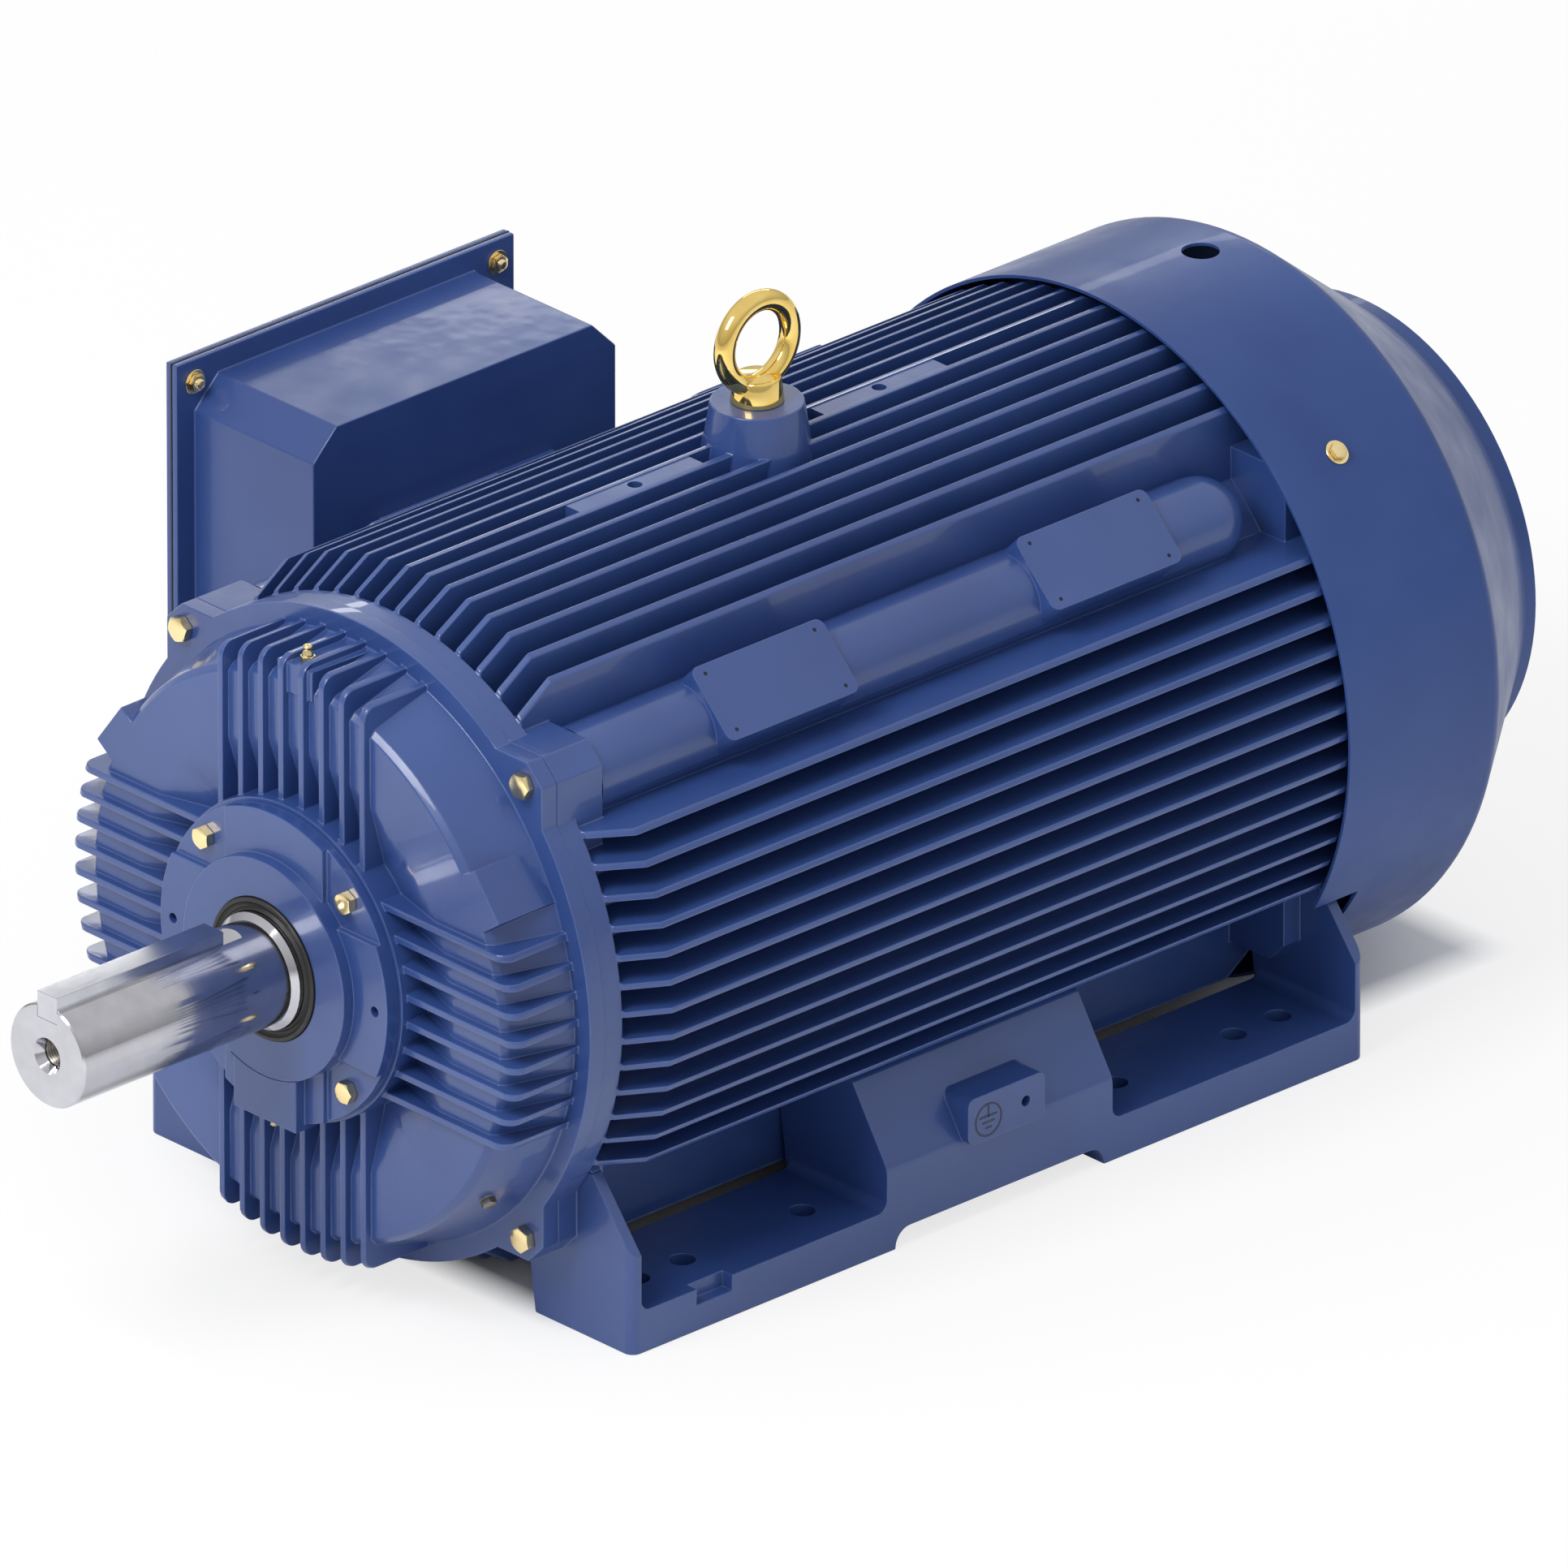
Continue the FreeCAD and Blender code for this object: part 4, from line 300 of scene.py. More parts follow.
@dataclass(frozen=True)
class Enamel:
    """Glossy machine enamel over a cast or sheet surface.

    Patterns are in grains per metre, depths and reaches in metres.
    """

    name: str
    slot: Slot = Slot.BLUE
    colour: Colour = (50, 76, 135)
    shade: Colour = (42, 66, 123)
    # edge is the lighter colour that edges turn to: part edge wear, part painted highlight.
    edge: Colour = (98, 120, 172)
    patches: float = 5.0
    grain: float = 260.0
    grain_depth: float = 0.00012
    skin: float = 45.0
    skin_depth: float = 0.00008
    haze: float = 24.0
    roughness: float = 0.34
    gloss: float = 0.5
    coat: float = 0.6
    edge_wear_and_highlight: float = 1.0
    least_edge_wear_and_highlight: float = 0.35
    edge_patch_scale: float = 38.0
    edge_reach: float = 0.0016

    def make(self) -> bpy.types.Material:
        """Build the material."""
        shader = Shader(self.name)
        shader.settings(Metallic=0.0, IOR=1.5, Specular_IOR_Level=self.gloss,
                        Coat_Weight=self.coat, Coat_Roughness=0.05, Coat_IOR=1.4)
        patches = shader.remap(shader.noise(self.patches, 3.0), 0.35, 0.65)
        body = shader.blend(patches, self.colour, self.shade)
        edge_patchiness = shader.remap(shader.noise(self.edge_patch_scale, 4.0), 0.35, NOISE_HIGH,
                              self.least_edge_wear_and_highlight * self.edge_wear_and_highlight, self.edge_wear_and_highlight)
        # Edges turn toward the edge colour, broken up by noise: edge wear and painted highlight together.
        worn_and_lit = shader.math("MULTIPLY", shader.edges(self.edge_reach), edge_patchiness)
        shader.join(shader.blend(worn_and_lit, body, self.edge), shader.surface.inputs["Base Color"])
        rough = shader.remap(shader.noise(self.haze, 4.0), NOISE_LOW, NOISE_HIGH,
                             self.roughness - 0.06, self.roughness + 0.08)
        shader.join(rough, shader.surface.inputs["Roughness"])
        coarse = shader.bump(shader.noise(self.grain, 3.0), self.grain_depth)
        shader.join(coarse, shader.surface.inputs["Normal"])
        skin = shader.bump(shader.noise(self.skin, 1.0), self.skin_depth)
        shader.join(skin, shader.surface.inputs["Coat Normal"])
        return shader.material


@dataclass(frozen=True)
class Metal:
    """Bare or plated metal, with turning or brushing lines along chosen axes.

    The lines run along the axes with small factors. With on_axis, the factors are those of the
    distance from the shaft's axis, the station along it and the turn about it.
    """

    name: str
    slot: Slot
    colour: Colour
    shade: Colour
    roughness: float
    lines: Point = (1.0, 1.0, 1.0)
    line_scale: float = 300.0
    depth: float = 0.00002
    on_axis: bool = False
    stain: float = 60.0

    def make(self) -> bpy.types.Material:
        """Build the material."""
        shader = Shader(self.name)
        shader.settings(Metallic=1.0)
        stain = shader.remap(shader.noise(self.stain, 4.0), NOISE_LOW, NOISE_HIGH)
        shader.join(shader.blend(stain, self.colour, self.shade), shader.surface.inputs["Base Color"])
        lines = shader.turned_place(self.lines) if self.on_axis else shader.stretched(self.lines)
        drawn = shader.noise(self.line_scale, 3.0, lines)
        rough = shader.remap(drawn, 0.2, 0.8, self.roughness * 0.7, self.roughness * 1.4)
        shader.join(rough, shader.surface.inputs["Roughness"])
        shader.join(shader.bump(drawn, self.depth), shader.surface.inputs["Normal"])
        return shader.material


@dataclass(frozen=True)
class Plain:
    """Rubber, moulded plastic or resin with a fine grain."""

    name: str
    slot: Slot
    colour: Colour
    shade: Colour
    roughness: float
    patches: float = 30.0
    haze: float = 90.0
    grain: float = 500.0
    depth: float = 0.00005

    def make(self) -> bpy.types.Material:
        """Build the material."""
        shader = Shader(self.name)
        shader.settings(Metallic=0.0, IOR=1.5)
        patches = shader.remap(shader.noise(self.patches, 4.0), NOISE_LOW, NOISE_HIGH)
        shader.join(shader.blend(patches, self.colour, self.shade), shader.surface.inputs["Base Color"])
        rough = shader.remap(shader.noise(self.haze, 3.0), NOISE_LOW, NOISE_HIGH,
                             self.roughness - 0.08, self.roughness + 0.08)
        shader.join(rough, shader.surface.inputs["Roughness"])
        shader.join(shader.bump(shader.noise(self.grain, 2.0), self.depth), shader.surface.inputs["Normal"])
        return shader.material


CASTING = Enamel("cast_enamel")
SHEET = Enamel("sheet_enamel", grain=300.0, grain_depth=0.00004, roughness=0.35, coat=0.25, edge_wear_and_highlight=0.7)
COVER = Enamel("cover_enamel", grain=300.0, grain_depth=0.00004, roughness=0.35, coat=0.14, edge_wear_and_highlight=0.5,
               gloss=0.25)
# Painted shade: the earth sign's dark enamel stands in for the shade of an engraved sign.
PAINTED_SHADE_MARK = Enamel("mark_painted_shade", colour=(14, 24, 58), shade=(12, 20, 48), edge=(24, 36, 78), coat=0.2)
ZINC = Metal("yellow_zinc", Slot.ZINC, (250, 230, 176), (243, 217, 158), 0.19)
EYE_ZINC = Metal("bright_zinc", Slot.ZINC, (250, 220, 136), (242, 206, 112), 0.07,
                 line_scale=80.0, depth=0.00001)
TURNED = Metal("turned_steel", Slot.STEEL, (196, 196, 202), (186, 186, 192), 0.1,
               lines=(4.0, 4.0, 0.004), line_scale=400.0, depth=0.000004, on_axis=True)
GROUND = Metal("ground_key", Slot.STEEL, (200, 201, 207), (188, 190, 196), 0.14,
               lines=(4.0, 0.1, 4.0), line_scale=400.0, depth=0.000006)
PLUG_STEEL = Metal("plug_steel", Slot.STEEL, (150, 146, 138), (120, 116, 110), 0.35)
RACE = Metal("ground_steel", Slot.BEARING, (206, 208, 212), (186, 189, 194), 0.1)
LAMINATION = Metal("laminations", Slot.CORE, (120, 122, 126), (92, 94, 98), 0.4,
                   lines=(0.02, 4.0, 0.02), line_scale=500.0, depth=0.00006)
COPPER = Metal("varnished_copper", Slot.COPPER, (178, 96, 58), (142, 70, 40), 0.35,
               lines=(2.0, 0.3, 2.0), line_scale=180.0, depth=0.0002)
CAGE = Metal("cast_aluminium", Slot.CAGE, (186, 188, 190), (164, 166, 170), 0.35)
PLATE = Metal("satin_plate", Slot.PLATE, (214, 216, 219), (200, 203, 207), 0.4)
PLATE_BAND = Plain("plate_band", Slot.PLATE, (16, 16, 18), (26, 26, 29), 0.3)
# Painted shade: dark discs put where the pads' screw holes are.
DARK_HOLE = Plain("hole_shadow", Slot.BLUE, (10, 14, 30), (14, 20, 40), 0.8)
RUBBER = Plain("seal_rubber", Slot.RUBBER, (24, 24, 24), (38, 37, 36), 0.5)
FAN_PLASTIC = Plain("fan_plastic", Slot.FAN, (28, 29, 31), (38, 39, 42), 0.45)
RESIN = Plain("terminal_resin", Slot.BLOCK, (122, 50, 34), (98, 38, 26), 0.35)

Finish = Enamel | Metal | Plain


class Paintbox:
    """Makes each finish's material once and hands it out."""

    def __init__(self) -> None:
        """Start with no material made."""
        self.made: dict[str, bpy.types.Material] = {}

    def material(self, finish: Finish) -> bpy.types.Material:
        """The finish's material, made at its first use.

        Args:
            finish: Any of the finishes.

        Returns:
            The material.
        """
        if finish.name not in self.made:
            self.made[finish.name] = finish.make()
        return self.made[finish.name]


PAINTBOX = Paintbox()


def dress_node(node: str, finish: Finish) -> None:
    """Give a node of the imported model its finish.

    Args:
        node: The node's name.
        finish: The finish that covers it.
    """
    mesh = frame["nodes"][node].data
    mesh.materials.clear()
    mesh.materials.append(PAINTBOX.material(finish))
    LOG.info("node %s dressed in %s", node, finish.name)


def finished(name: str, shape: Shape, finish: Finish, body: Body) -> bpy.types.Object:
    """Turn a finished shape into a piece that rides on a body.

    Args:
        name: The piece's name.
        shape: Its mesh, in place, which is freed here.
        finish: The finish that covers it.
        body: The body that carries it.

    Returns:
        The new object.
    """
    for face in shape.faces:
        face.smooth = True
    for edge in shape.edges:
        edge.smooth = edge.calc_face_angle(0.0) < math.radians(SHARP_TURN)
    mesh = bpy.data.meshes.new(name)
    shape.to_mesh(mesh)
    shape.free()
    mesh.materials.append(PAINTBOX.material(finish))
    piece = bpy.data.objects.new(name, mesh)
    bpy.context.scene.collection.objects.link(piece)
    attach(piece, body.value)
    LOG.info("piece %s has %d faces", name, len(mesh.polygons))
    return piece


def lathe(profile: Profile, steps: int = 48) -> Shape:
    """Turn an outline about the Z axis.

    Args:
        profile: (radius, height) corners in millimetres, in order.
        steps: Facets round the axis.

    Returns:
        The turned shape, with poles joined and normals outward.
    """
    shape = bmesh.new()
    points = [shape.verts.new((radius * MM, 0.0, height * MM)) for radius, height in profile]
    lines = [shape.edges.new(pair) for pair in zip(points, points[1:])]
    bmesh.ops.spin(shape, geom=points + lines, cent=(0.0, 0.0, 0.0), axis=(0.0, 0.0, 1.0),
                   angle=2 * math.pi, steps=steps, use_merge=True)
    bmesh.ops.remove_doubles(shape, verts=shape.verts, dist=SAME_POINT)
    bmesh.ops.recalc_face_normals(shape, faces=shape.faces)
    return shape


def closed(profile: Profile) -> Profile:
    """The outline with its first corner again at the end, for a ring."""
    return [*profile, profile[0]]


def hexagon(flats: float, base: float, top: float) -> Shape:
    """A hexagonal head, made as a real one is: a turned blank with a chamfer, cut flat on six sides.

    Args:
        flats: Width across the flats in millimetres.
        base: Height of the seat face.
        top: Height of the outer face.

    Returns:
        The closed head about the Z axis.
    """
    sixth, chamfer = math.pi / 3, math.radians(30)
    corner, face = flats / 2 / math.cos(sixth / 2), flats * 0.475
    shoulder = top - math.tan(chamfer) * (corner - face)
    shape = lathe([(0.0, base), (corner, base), (corner, shoulder), (face, top), (0.0, top)])
    for side in range(6):
        way = Vector((math.cos(sixth * side), math.sin(sixth * side), 0.0))
        bmesh.ops.bisect_plane(shape, geom=[*shape.verts, *shape.edges, *shape.faces], dist=SAME_POINT,
                               plane_co=way * (flats / 2 * MM), plane_no=way, clear_outer=True)
        bmesh.ops.holes_fill(shape, edges=shape.edges, sides=0)
    bmesh.ops.recalc_face_normals(shape, faces=shape.faces)
    return shape


def slab(width: float, length: float, base: float, top: float, corner: float, edge: float = 0.0) -> Shape:
    """A flat plate with rounded corners, in millimetres.

    Args:
        width: Size along X.
        length: Size along Y.
        base: Height of its underside.
        top: Height of its face.
        corner: Radius of the four corners.
        edge: Bevel round the face.

    Returns:
        The closed plate.
    """
    shape = bmesh.new()
    outline = []
    for quarter, (x, y) in enumerate(((1, 1), (-1, 1), (-1, -1), (1, -1))):
        for step in range(CORNER_STEPS + 1):
            angle = math.pi / 2 * (quarter + step / CORNER_STEPS)
            outline.append((x * (width / 2 - corner) + corner * math.cos(angle),
                            y * (length / 2 - corner) + corner * math.sin(angle)))
    levels = [(base, 0.0), (top - edge, 0.0), (top, edge)] if edge else [(base, 0.0), (top, 0.0)]
    rings = []
    for height, inset in levels:
        grow = (1 - 2 * inset / width, 1 - 2 * inset / length)
        rings.append([shape.verts.new((x * grow[0] * MM, y * grow[1] * MM, height * MM)) for x, y in outline])
    for lower, upper in zip(rings, rings[1:]):
        for index in range(len(outline)):
            following = (index + 1) % len(outline)
            shape.faces.new((lower[index], lower[following], upper[following], upper[index]))
    shape.faces.new(rings[-1])
    shape.faces.new(list(reversed(rings[0])))
    bmesh.ops.recalc_face_normals(shape, faces=shape.faces)
    return shape


def ring_bar(major: float, minor: float, facets: int) -> Shape:
    """A round bar bent into a ring in the XY plane.

    Args:
        major: Radius of the centre line in millimetres.
        minor: Radius of the bar.
        facets: Facets round the bar.

    Returns:
        The closed ring.
    """
    turns = [2 * math.pi * index / facets for index in range(facets)]
    return lathe(closed([(major + minor * math.cos(turn), minor * math.sin(turn)) for turn in turns]), 96)


def joined(*shapes: Shape) -> Shape:
    """Several closed shapes as the shells of one mesh; the shapes are freed."""
    whole = bmesh.new()
    for shape in shapes:
        carrier = bpy.data.meshes.new("carrier")
        shape.to_mesh(carrier)
        shape.free()
        whole.from_mesh(carrier)
        bpy.data.meshes.remove(carrier)
    return whole


def shifted(shape: Shape, across: float, along: float) -> Shape:
    """Move a shape in its own plane, in millimetres, and hand it back."""
    bmesh.ops.translate(shape, vec=(across * MM, along * MM, 0.0), verts=shape.verts)
    return shape


def aimed(shape: Shape, origin: Point, axis: Point, spin: float = 0.0) -> Shape:
    """Move a shape so that its own Z axis points along an axis from an origin.

    Args:
        shape: The shape about its own Z axis.
        origin: Where its own origin goes, in millimetres.
        axis: Where its own Z axis points.
        spin: A first turn about its own Z axis, in degrees.

    Returns:
        The same shape, moved.
    """
    turn = Vector(axis).to_track_quat("Z", "Y") @ Quaternion((0.0, 0.0, 1.0), math.radians(spin))
    place = Matrix.Translation(Vector(origin) * MM) @ turn.to_matrix().to_4x4()
    bmesh.ops.transform(shape, matrix=place, verts=shape.verts)
    return shape


def laid(shape: Shape, origin: Point, across: Point, along: Point) -> Shape:
    """Lay a shape drawn in the XY plane onto a plane in the motor.

    Args:
        shape: The shape, with +Z as its outward side.
        origin: The place of its own origin, in millimetres.
        across: Where its own X axis points.
        along: Where its own Y axis points.

    Returns:
        The same shape, moved.
    """
    x_axis, y_axis = Vector(across).normalized(), Vector(along).normalized()
    turn = Matrix((x_axis, y_axis, x_axis.cross(y_axis))).transposed()
    place = Matrix.Translation(Vector(origin) * MM) @ turn.to_4x4()
    bmesh.ops.transform(shape, matrix=place, verts=shape.verts)
    return shape


@dataclass(frozen=True)
class BoltSize:
    """The sizes of one kind of hexagon screw, in millimetres."""

    flats: float
    head: float
    shank: float
    length: float
    washer: float = 0.0
    thread_end: float = 0.0


SHIELD_BOLT = BoltSize(flats=19.05, head=7.8, shank=12.0, length=50.0)
CAP_BOLT = BoltSize(flats=16.5, head=8.0, shank=10.0, length=90.0)
COVER_BOLT = BoltSize(flats=13.0, head=5.5, shank=8.0, length=12.0, washer=1.3)
LID_BOLT = BoltSize(flats=13.0, head=5.5, shank=8.0, length=12.5, washer=1.3, thread_end=3.5)


@dataclass
class HexBolt:
    """A plated hexagon screw: chamfered head, washer face, optional washer and thread end."""

    node: str
    size: BoltSize
    seat: Point
    axis: Point
    spin: float
    face_height: float = 0.5
    lap: float = 0.3
    thread_depth: float = 0.6
    pitch: float = 1.25

    def build(self) -> None:
        """Build the screw in place of its node."""
        size = self.size
        seat = size.washer + self.face_height
        shells = [hexagon(size.flats, seat, size.head), self.washer_face(seat + self.lap), self.shank()]
        if size.washer:
            shells.append(self.washer())
        if size.thread_end:
            shells.append(self.threads())
        shape = aimed(joined(*shells), self.seat, self.axis, self.spin)
        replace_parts(finished(f"{self.node}_screw", shape, ZINC, Body.HOUSING), self.node)

    def washer_face(self, top: float) -> Shape:
        """The round face under the head, which runs a little way into it."""
        radius = self.size.flats * 0.46
        return lathe([(0.0, self.size.washer), (radius, self.size.washer), (radius, top), (0.0, top)])

    def shank(self) -> Shape:
        """The shank, with a chamfered tip."""
        radius, tip, top, chamfer = self.size.shank / 2, -self.size.length, self.size.washer + 0.2, 0.8
        return lathe([(0.0, tip), (radius - chamfer, tip), (radius, tip + chamfer), (radius, top),
                      (0.0, top)], 32)

    def washer(self) -> Shape:
        """The loose washer, with its outer edges broken."""
        inner, outer, top = self.size.shank / 2 + 0.2, self.size.flats * 0.78, self.size.washer
        broken = 0.3
        return lathe(closed([(inner, 0.0), (outer - broken, 0.0), (outer, broken),
                             (outer, top - broken), (outer - broken, top), (inner, top)]))

    def threads(self) -> Shape:
        """The end of the screw that stands out of its nut, with its thread grooves."""
        crest, root = self.size.shank / 2, self.size.shank / 2 - self.thread_depth
        height, top = self.size.head - 0.5, self.size.head + self.size.thread_end
        profile = [(0.0, height)]
        while height + self.pitch < top:
            profile += [(root, height), (crest, height + self.pitch / 2)]
            height += self.pitch
        profile += [(root, height), (root - 0.4, top), (0.0, top)]
        return lathe(profile, 32)


@dataclass
class Screws:
    """Every screw that shows, at the places of the record's bolts.

    ear, cap and cover are half the side of the square that each kind of screw stands on. No two
    heads of a kind are turned alike, as on a motor that was put together by hand.
    """

    ear: float = 193.6
    ear_face: float = FRAME_FRONT - 16.0
    cap: float = 80.822
    cap_face: float = FRAME_FRONT - 96.3
    cover: float = 207.889
    cover_station: float = FRAME_REAR + 12.0
    lid_face: float = -469.0
    lid_height: float = 316.1
    lid_half_length: float = 160.65
    lid_half_height: float = 187.3

    def on_square(self, half: float, station: float, corner: tuple[int, int]) -> Point:
        """A corner of an upright square round the shaft axis."""
        return (half * corner[0], station, AXIS_HEIGHT + half * corner[1])

    def end_screws(self) -> None:
        """Four screws each of the drive-end shield, of its cap and of the fan cover."""
        forward = (0.0, -1.0, 0.0)
        for index, corner in enumerate(CORNERS, start=1):
            HexBolt(f"drive_end_shield_bolt_{index}", SHIELD_BOLT,
                    self.on_square(self.ear, self.ear_face, corner), forward, 23.0 * index).build()
            HexBolt(f"drive_end_cap_bolt_{index}", CAP_BOLT,
                    self.on_square(self.cap, self.cap_face, corner), forward, 31.0 * index).build()
            HexBolt(f"cover_bolt_{index}", COVER_BOLT,
                    self.on_square(self.cover, self.cover_station, corner),
                    (corner[0], 0.0, corner[1]), 17.0 * index).build()

    def lid_screws(self) -> None:
        """Four screws that hold the lid, with their nuts towards the motor."""
        for index, (y, z) in enumerate(CORNERS, start=1):
            seat = (self.lid_face, FRAME_MIDDLE + self.lid_half_length * y,
                    self.lid_height + self.lid_half_height * z)
            HexBolt(f"lid_bolt_{index}", LID_BOLT, seat, (1.0, 0.0, 0.0), 11.0 * index).build()

    def build(self) -> None:
        """Build all the screws."""
        self.end_screws()
        self.lid_screws()


@dataclass
class LiftingEye:
    """The polished eyebolt: a round ring that stands in a flared collar on a shank."""

    ring_height: float = 646.4
    ring: float = 34.73
    bar: float = 8.5
    seat: float = 597.0
    collar: Profile = (
        (0.0, -38.0), (11.0, -38.0), (12.0, -37.0), (12.0, 0.0), (20.6, 0.0), (21.2, 0.6), (21.2, 1.6),
        (18.9, 19.2), (18.4, 20.4), (17.4, 21.2), (15.8, 21.6), (0.0, 21.6))

    def build(self) -> None:
        """Build the eye in place of its node."""
        centre, seat = (0.0, FRAME_MIDDLE, self.ring_height), (0.0, FRAME_MIDDLE, self.seat)
        ring = aimed(ring_bar(self.ring, self.bar, 32), centre, (1.0, 0.0, 0.0))
        collar = aimed(lathe(self.collar, 64), seat, (0.0, 0.0, 1.0))
        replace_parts(finished("lifting_eye", joined(ring, collar), EYE_ZINC, Body.HOUSING), "eyebolt")


@dataclass
class GreaseFitting:
    """A grease nipple: thread, hexagon base, neck and ball end.

    ball holds the outline above the hexagon, each corner as a radius and a share of the height.
    """

    node: str
    seat: Point
    axis: Point
    flats: float = 11.0
    height: float = 13.5
    thread: float = 8.0
    base: float = 0.34
    ball: Profile = (
        (2.5, 0.3), (4.8, 0.34), (4.7, 0.42), (3.9, 0.56), (3.2, 0.68), (3.1, 0.76), (3.6, 0.82),
        (3.8, 0.88), (3.5, 0.94), (2.4, 1.0))
    dimple_radius: float = 0.6
    dimple_depth: float = 0.8

    def build(self) -> None:
        """Build the fitting in place of its node."""
        top, floor = self.height, self.height - self.dimple_depth
        nipple = lathe([
            (0.0, -self.thread), (2.3, -self.thread), (2.5, 0.0),
            *((radius, share * top) for radius, share in self.ball),
            (self.dimple_radius, top), (self.dimple_radius, floor), (0.0, floor)], 32)
        shape = aimed(joined(hexagon(self.flats, 0.0, top * self.base), nipple), self.seat, self.axis, 12.0)
        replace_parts(finished(f"{self.node}_nipple", shape, ZINC, Body.HOUSING), self.node)


@dataclass
class GreaseFittings:
    """The two fittings on top of the shields and the outlet plug under the drive end."""

    top: float = 527.4
    bottom: float = 149.9

    def build(self) -> None:
        """Build the three fittings."""
        up, down = (0.0, 0.0, 1.0), (0.0, 0.0, -1.0)
        GreaseFitting("drive_end_grease_fitting", (0.0, FRAME_FRONT - 64.0, self.top), up).build()
        GreaseFitting("fan_end_grease_fitting", (0.0, FRAME_REAR + 46.0, self.top), up).build()
        GreaseFitting("grease_outlet_plug", (0.0, FRAME_FRONT - 100.0, self.bottom), down,
                      flats=11.6, height=8.0).build()


@dataclass
class ShaftSeal:
    """The rubber ring round the shaft, with a dished face and a lip."""

    face: float = FRAME_FRONT - 114.2
    outline: Profile = (
        (48.0, 11.0), (58.3, 11.0), (58.5, 10.5), (58.5, 1.0), (57.7, 0.2), (55.4, 0.0), (54.6, 0.9),
        (53.0, 2.4), (51.2, 2.6), (50.2, 1.4), (49.4, 0.4), (48.6, 0.4), (48.0, 1.2))

    def build(self) -> None:
        """Build the seal in place of its node."""
        shape = aimed(lathe(closed(self.outline), 96), (0.0, self.face, AXIS_HEIGHT), (0.0, 1.0, 0.0))
        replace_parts(finished("seal_ring", shape, RUBBER, Body.ROTOR), "shaft_seal")


@dataclass
class InletGuard:
    """The round-wire guard in the air inlet: rings on crossed spokes."""

    mouth: float = 193.0
    wire: float = 2.4
    rings: int = 5
    spokes: int = 4
    face: float = 670.6

    def build(self) -> None:
        """Build the guard in place of its node."""
        shells = [ring_bar(self.mouth * (1 - index / self.rings) - self.wire, self.wire, 10)
                  for index in range(self.rings)]
        half = self.mouth - self.wire
        for index in range(self.spokes):
            bar = lathe([(0.0, -half), (self.wire, -half), (self.wire, half), (0.0, half)], 12)
            angle = math.pi * index / self.spokes
            shells.append(aimed(bar, (0.0, 0.0, 0.0), (math.cos(angle), math.sin(angle), 0.0)))
        shape = aimed(joined(*shells), (0.0, self.face, AXIS_HEIGHT), (0.0, 1.0, 0.0))
        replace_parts(finished("guard_wires", shape, SHEET, Body.HOUSING), "inlet_guard")


@dataclass
class CornerPad:
    """A flat pad at 45 degrees on a swelling of the frame.

    side is 1 on the right and -1 on the left, and end is -1 at the drive end and 1 at the fan end.
    """

    side: int
    end: int
    reach: float = 289.0
    from_middle: float = 171.75

    def on_face(self, shape: Shape) -> Shape:
        """Lay a shape onto the pad, its own Y axis along the motor."""
        offset = self.reach / math.sqrt(2)
        origin = (self.side * offset, FRAME_MIDDLE + self.end * self.from_middle, AXIS_HEIGHT + offset)
        return laid(shape, origin, (1.0, 0.0, float(-self.side)), (0.0, 1.0, 0.0))


FRONT_RIGHT_PAD = CornerPad(1, -1)
REAR_RIGHT_PAD = CornerPad(1, 1)
FRONT_LEFT_PAD = CornerPad(-1, -1)
REAR_LEFT_PAD = CornerPad(-1, 1)


@dataclass
class PadHoles:
    """The four small screw holes in the corners of each pad, shown as dark discs of painted shade."""

    across: float = 25.0
    along: float = 57.6
    radius: float = 1.7
    depth: float = 1.0
    proud: float = 0.04

    def build(self) -> None:
        """Build the holes of the three pads without a plate."""
        pads = {"right_front": FRONT_RIGHT_PAD, "right_rear": REAR_RIGHT_PAD, "left_rear": REAR_LEFT_PAD}
        for name, pad in pads.items():
            holes = [shifted(self.hole(), x * self.across, y * self.along) for x, y in CORNERS]
            finished(f"pad_holes_{name}", pad.on_face(joined(*holes)), DARK_HOLE, Body.HOUSING)

    def hole(self) -> Shape:
        """One hole about the Z axis."""
        return lathe([(0.0, -self.depth), (self.radius, -self.depth), (self.radius, self.proud),
                      (0.0, self.proud)], 20)


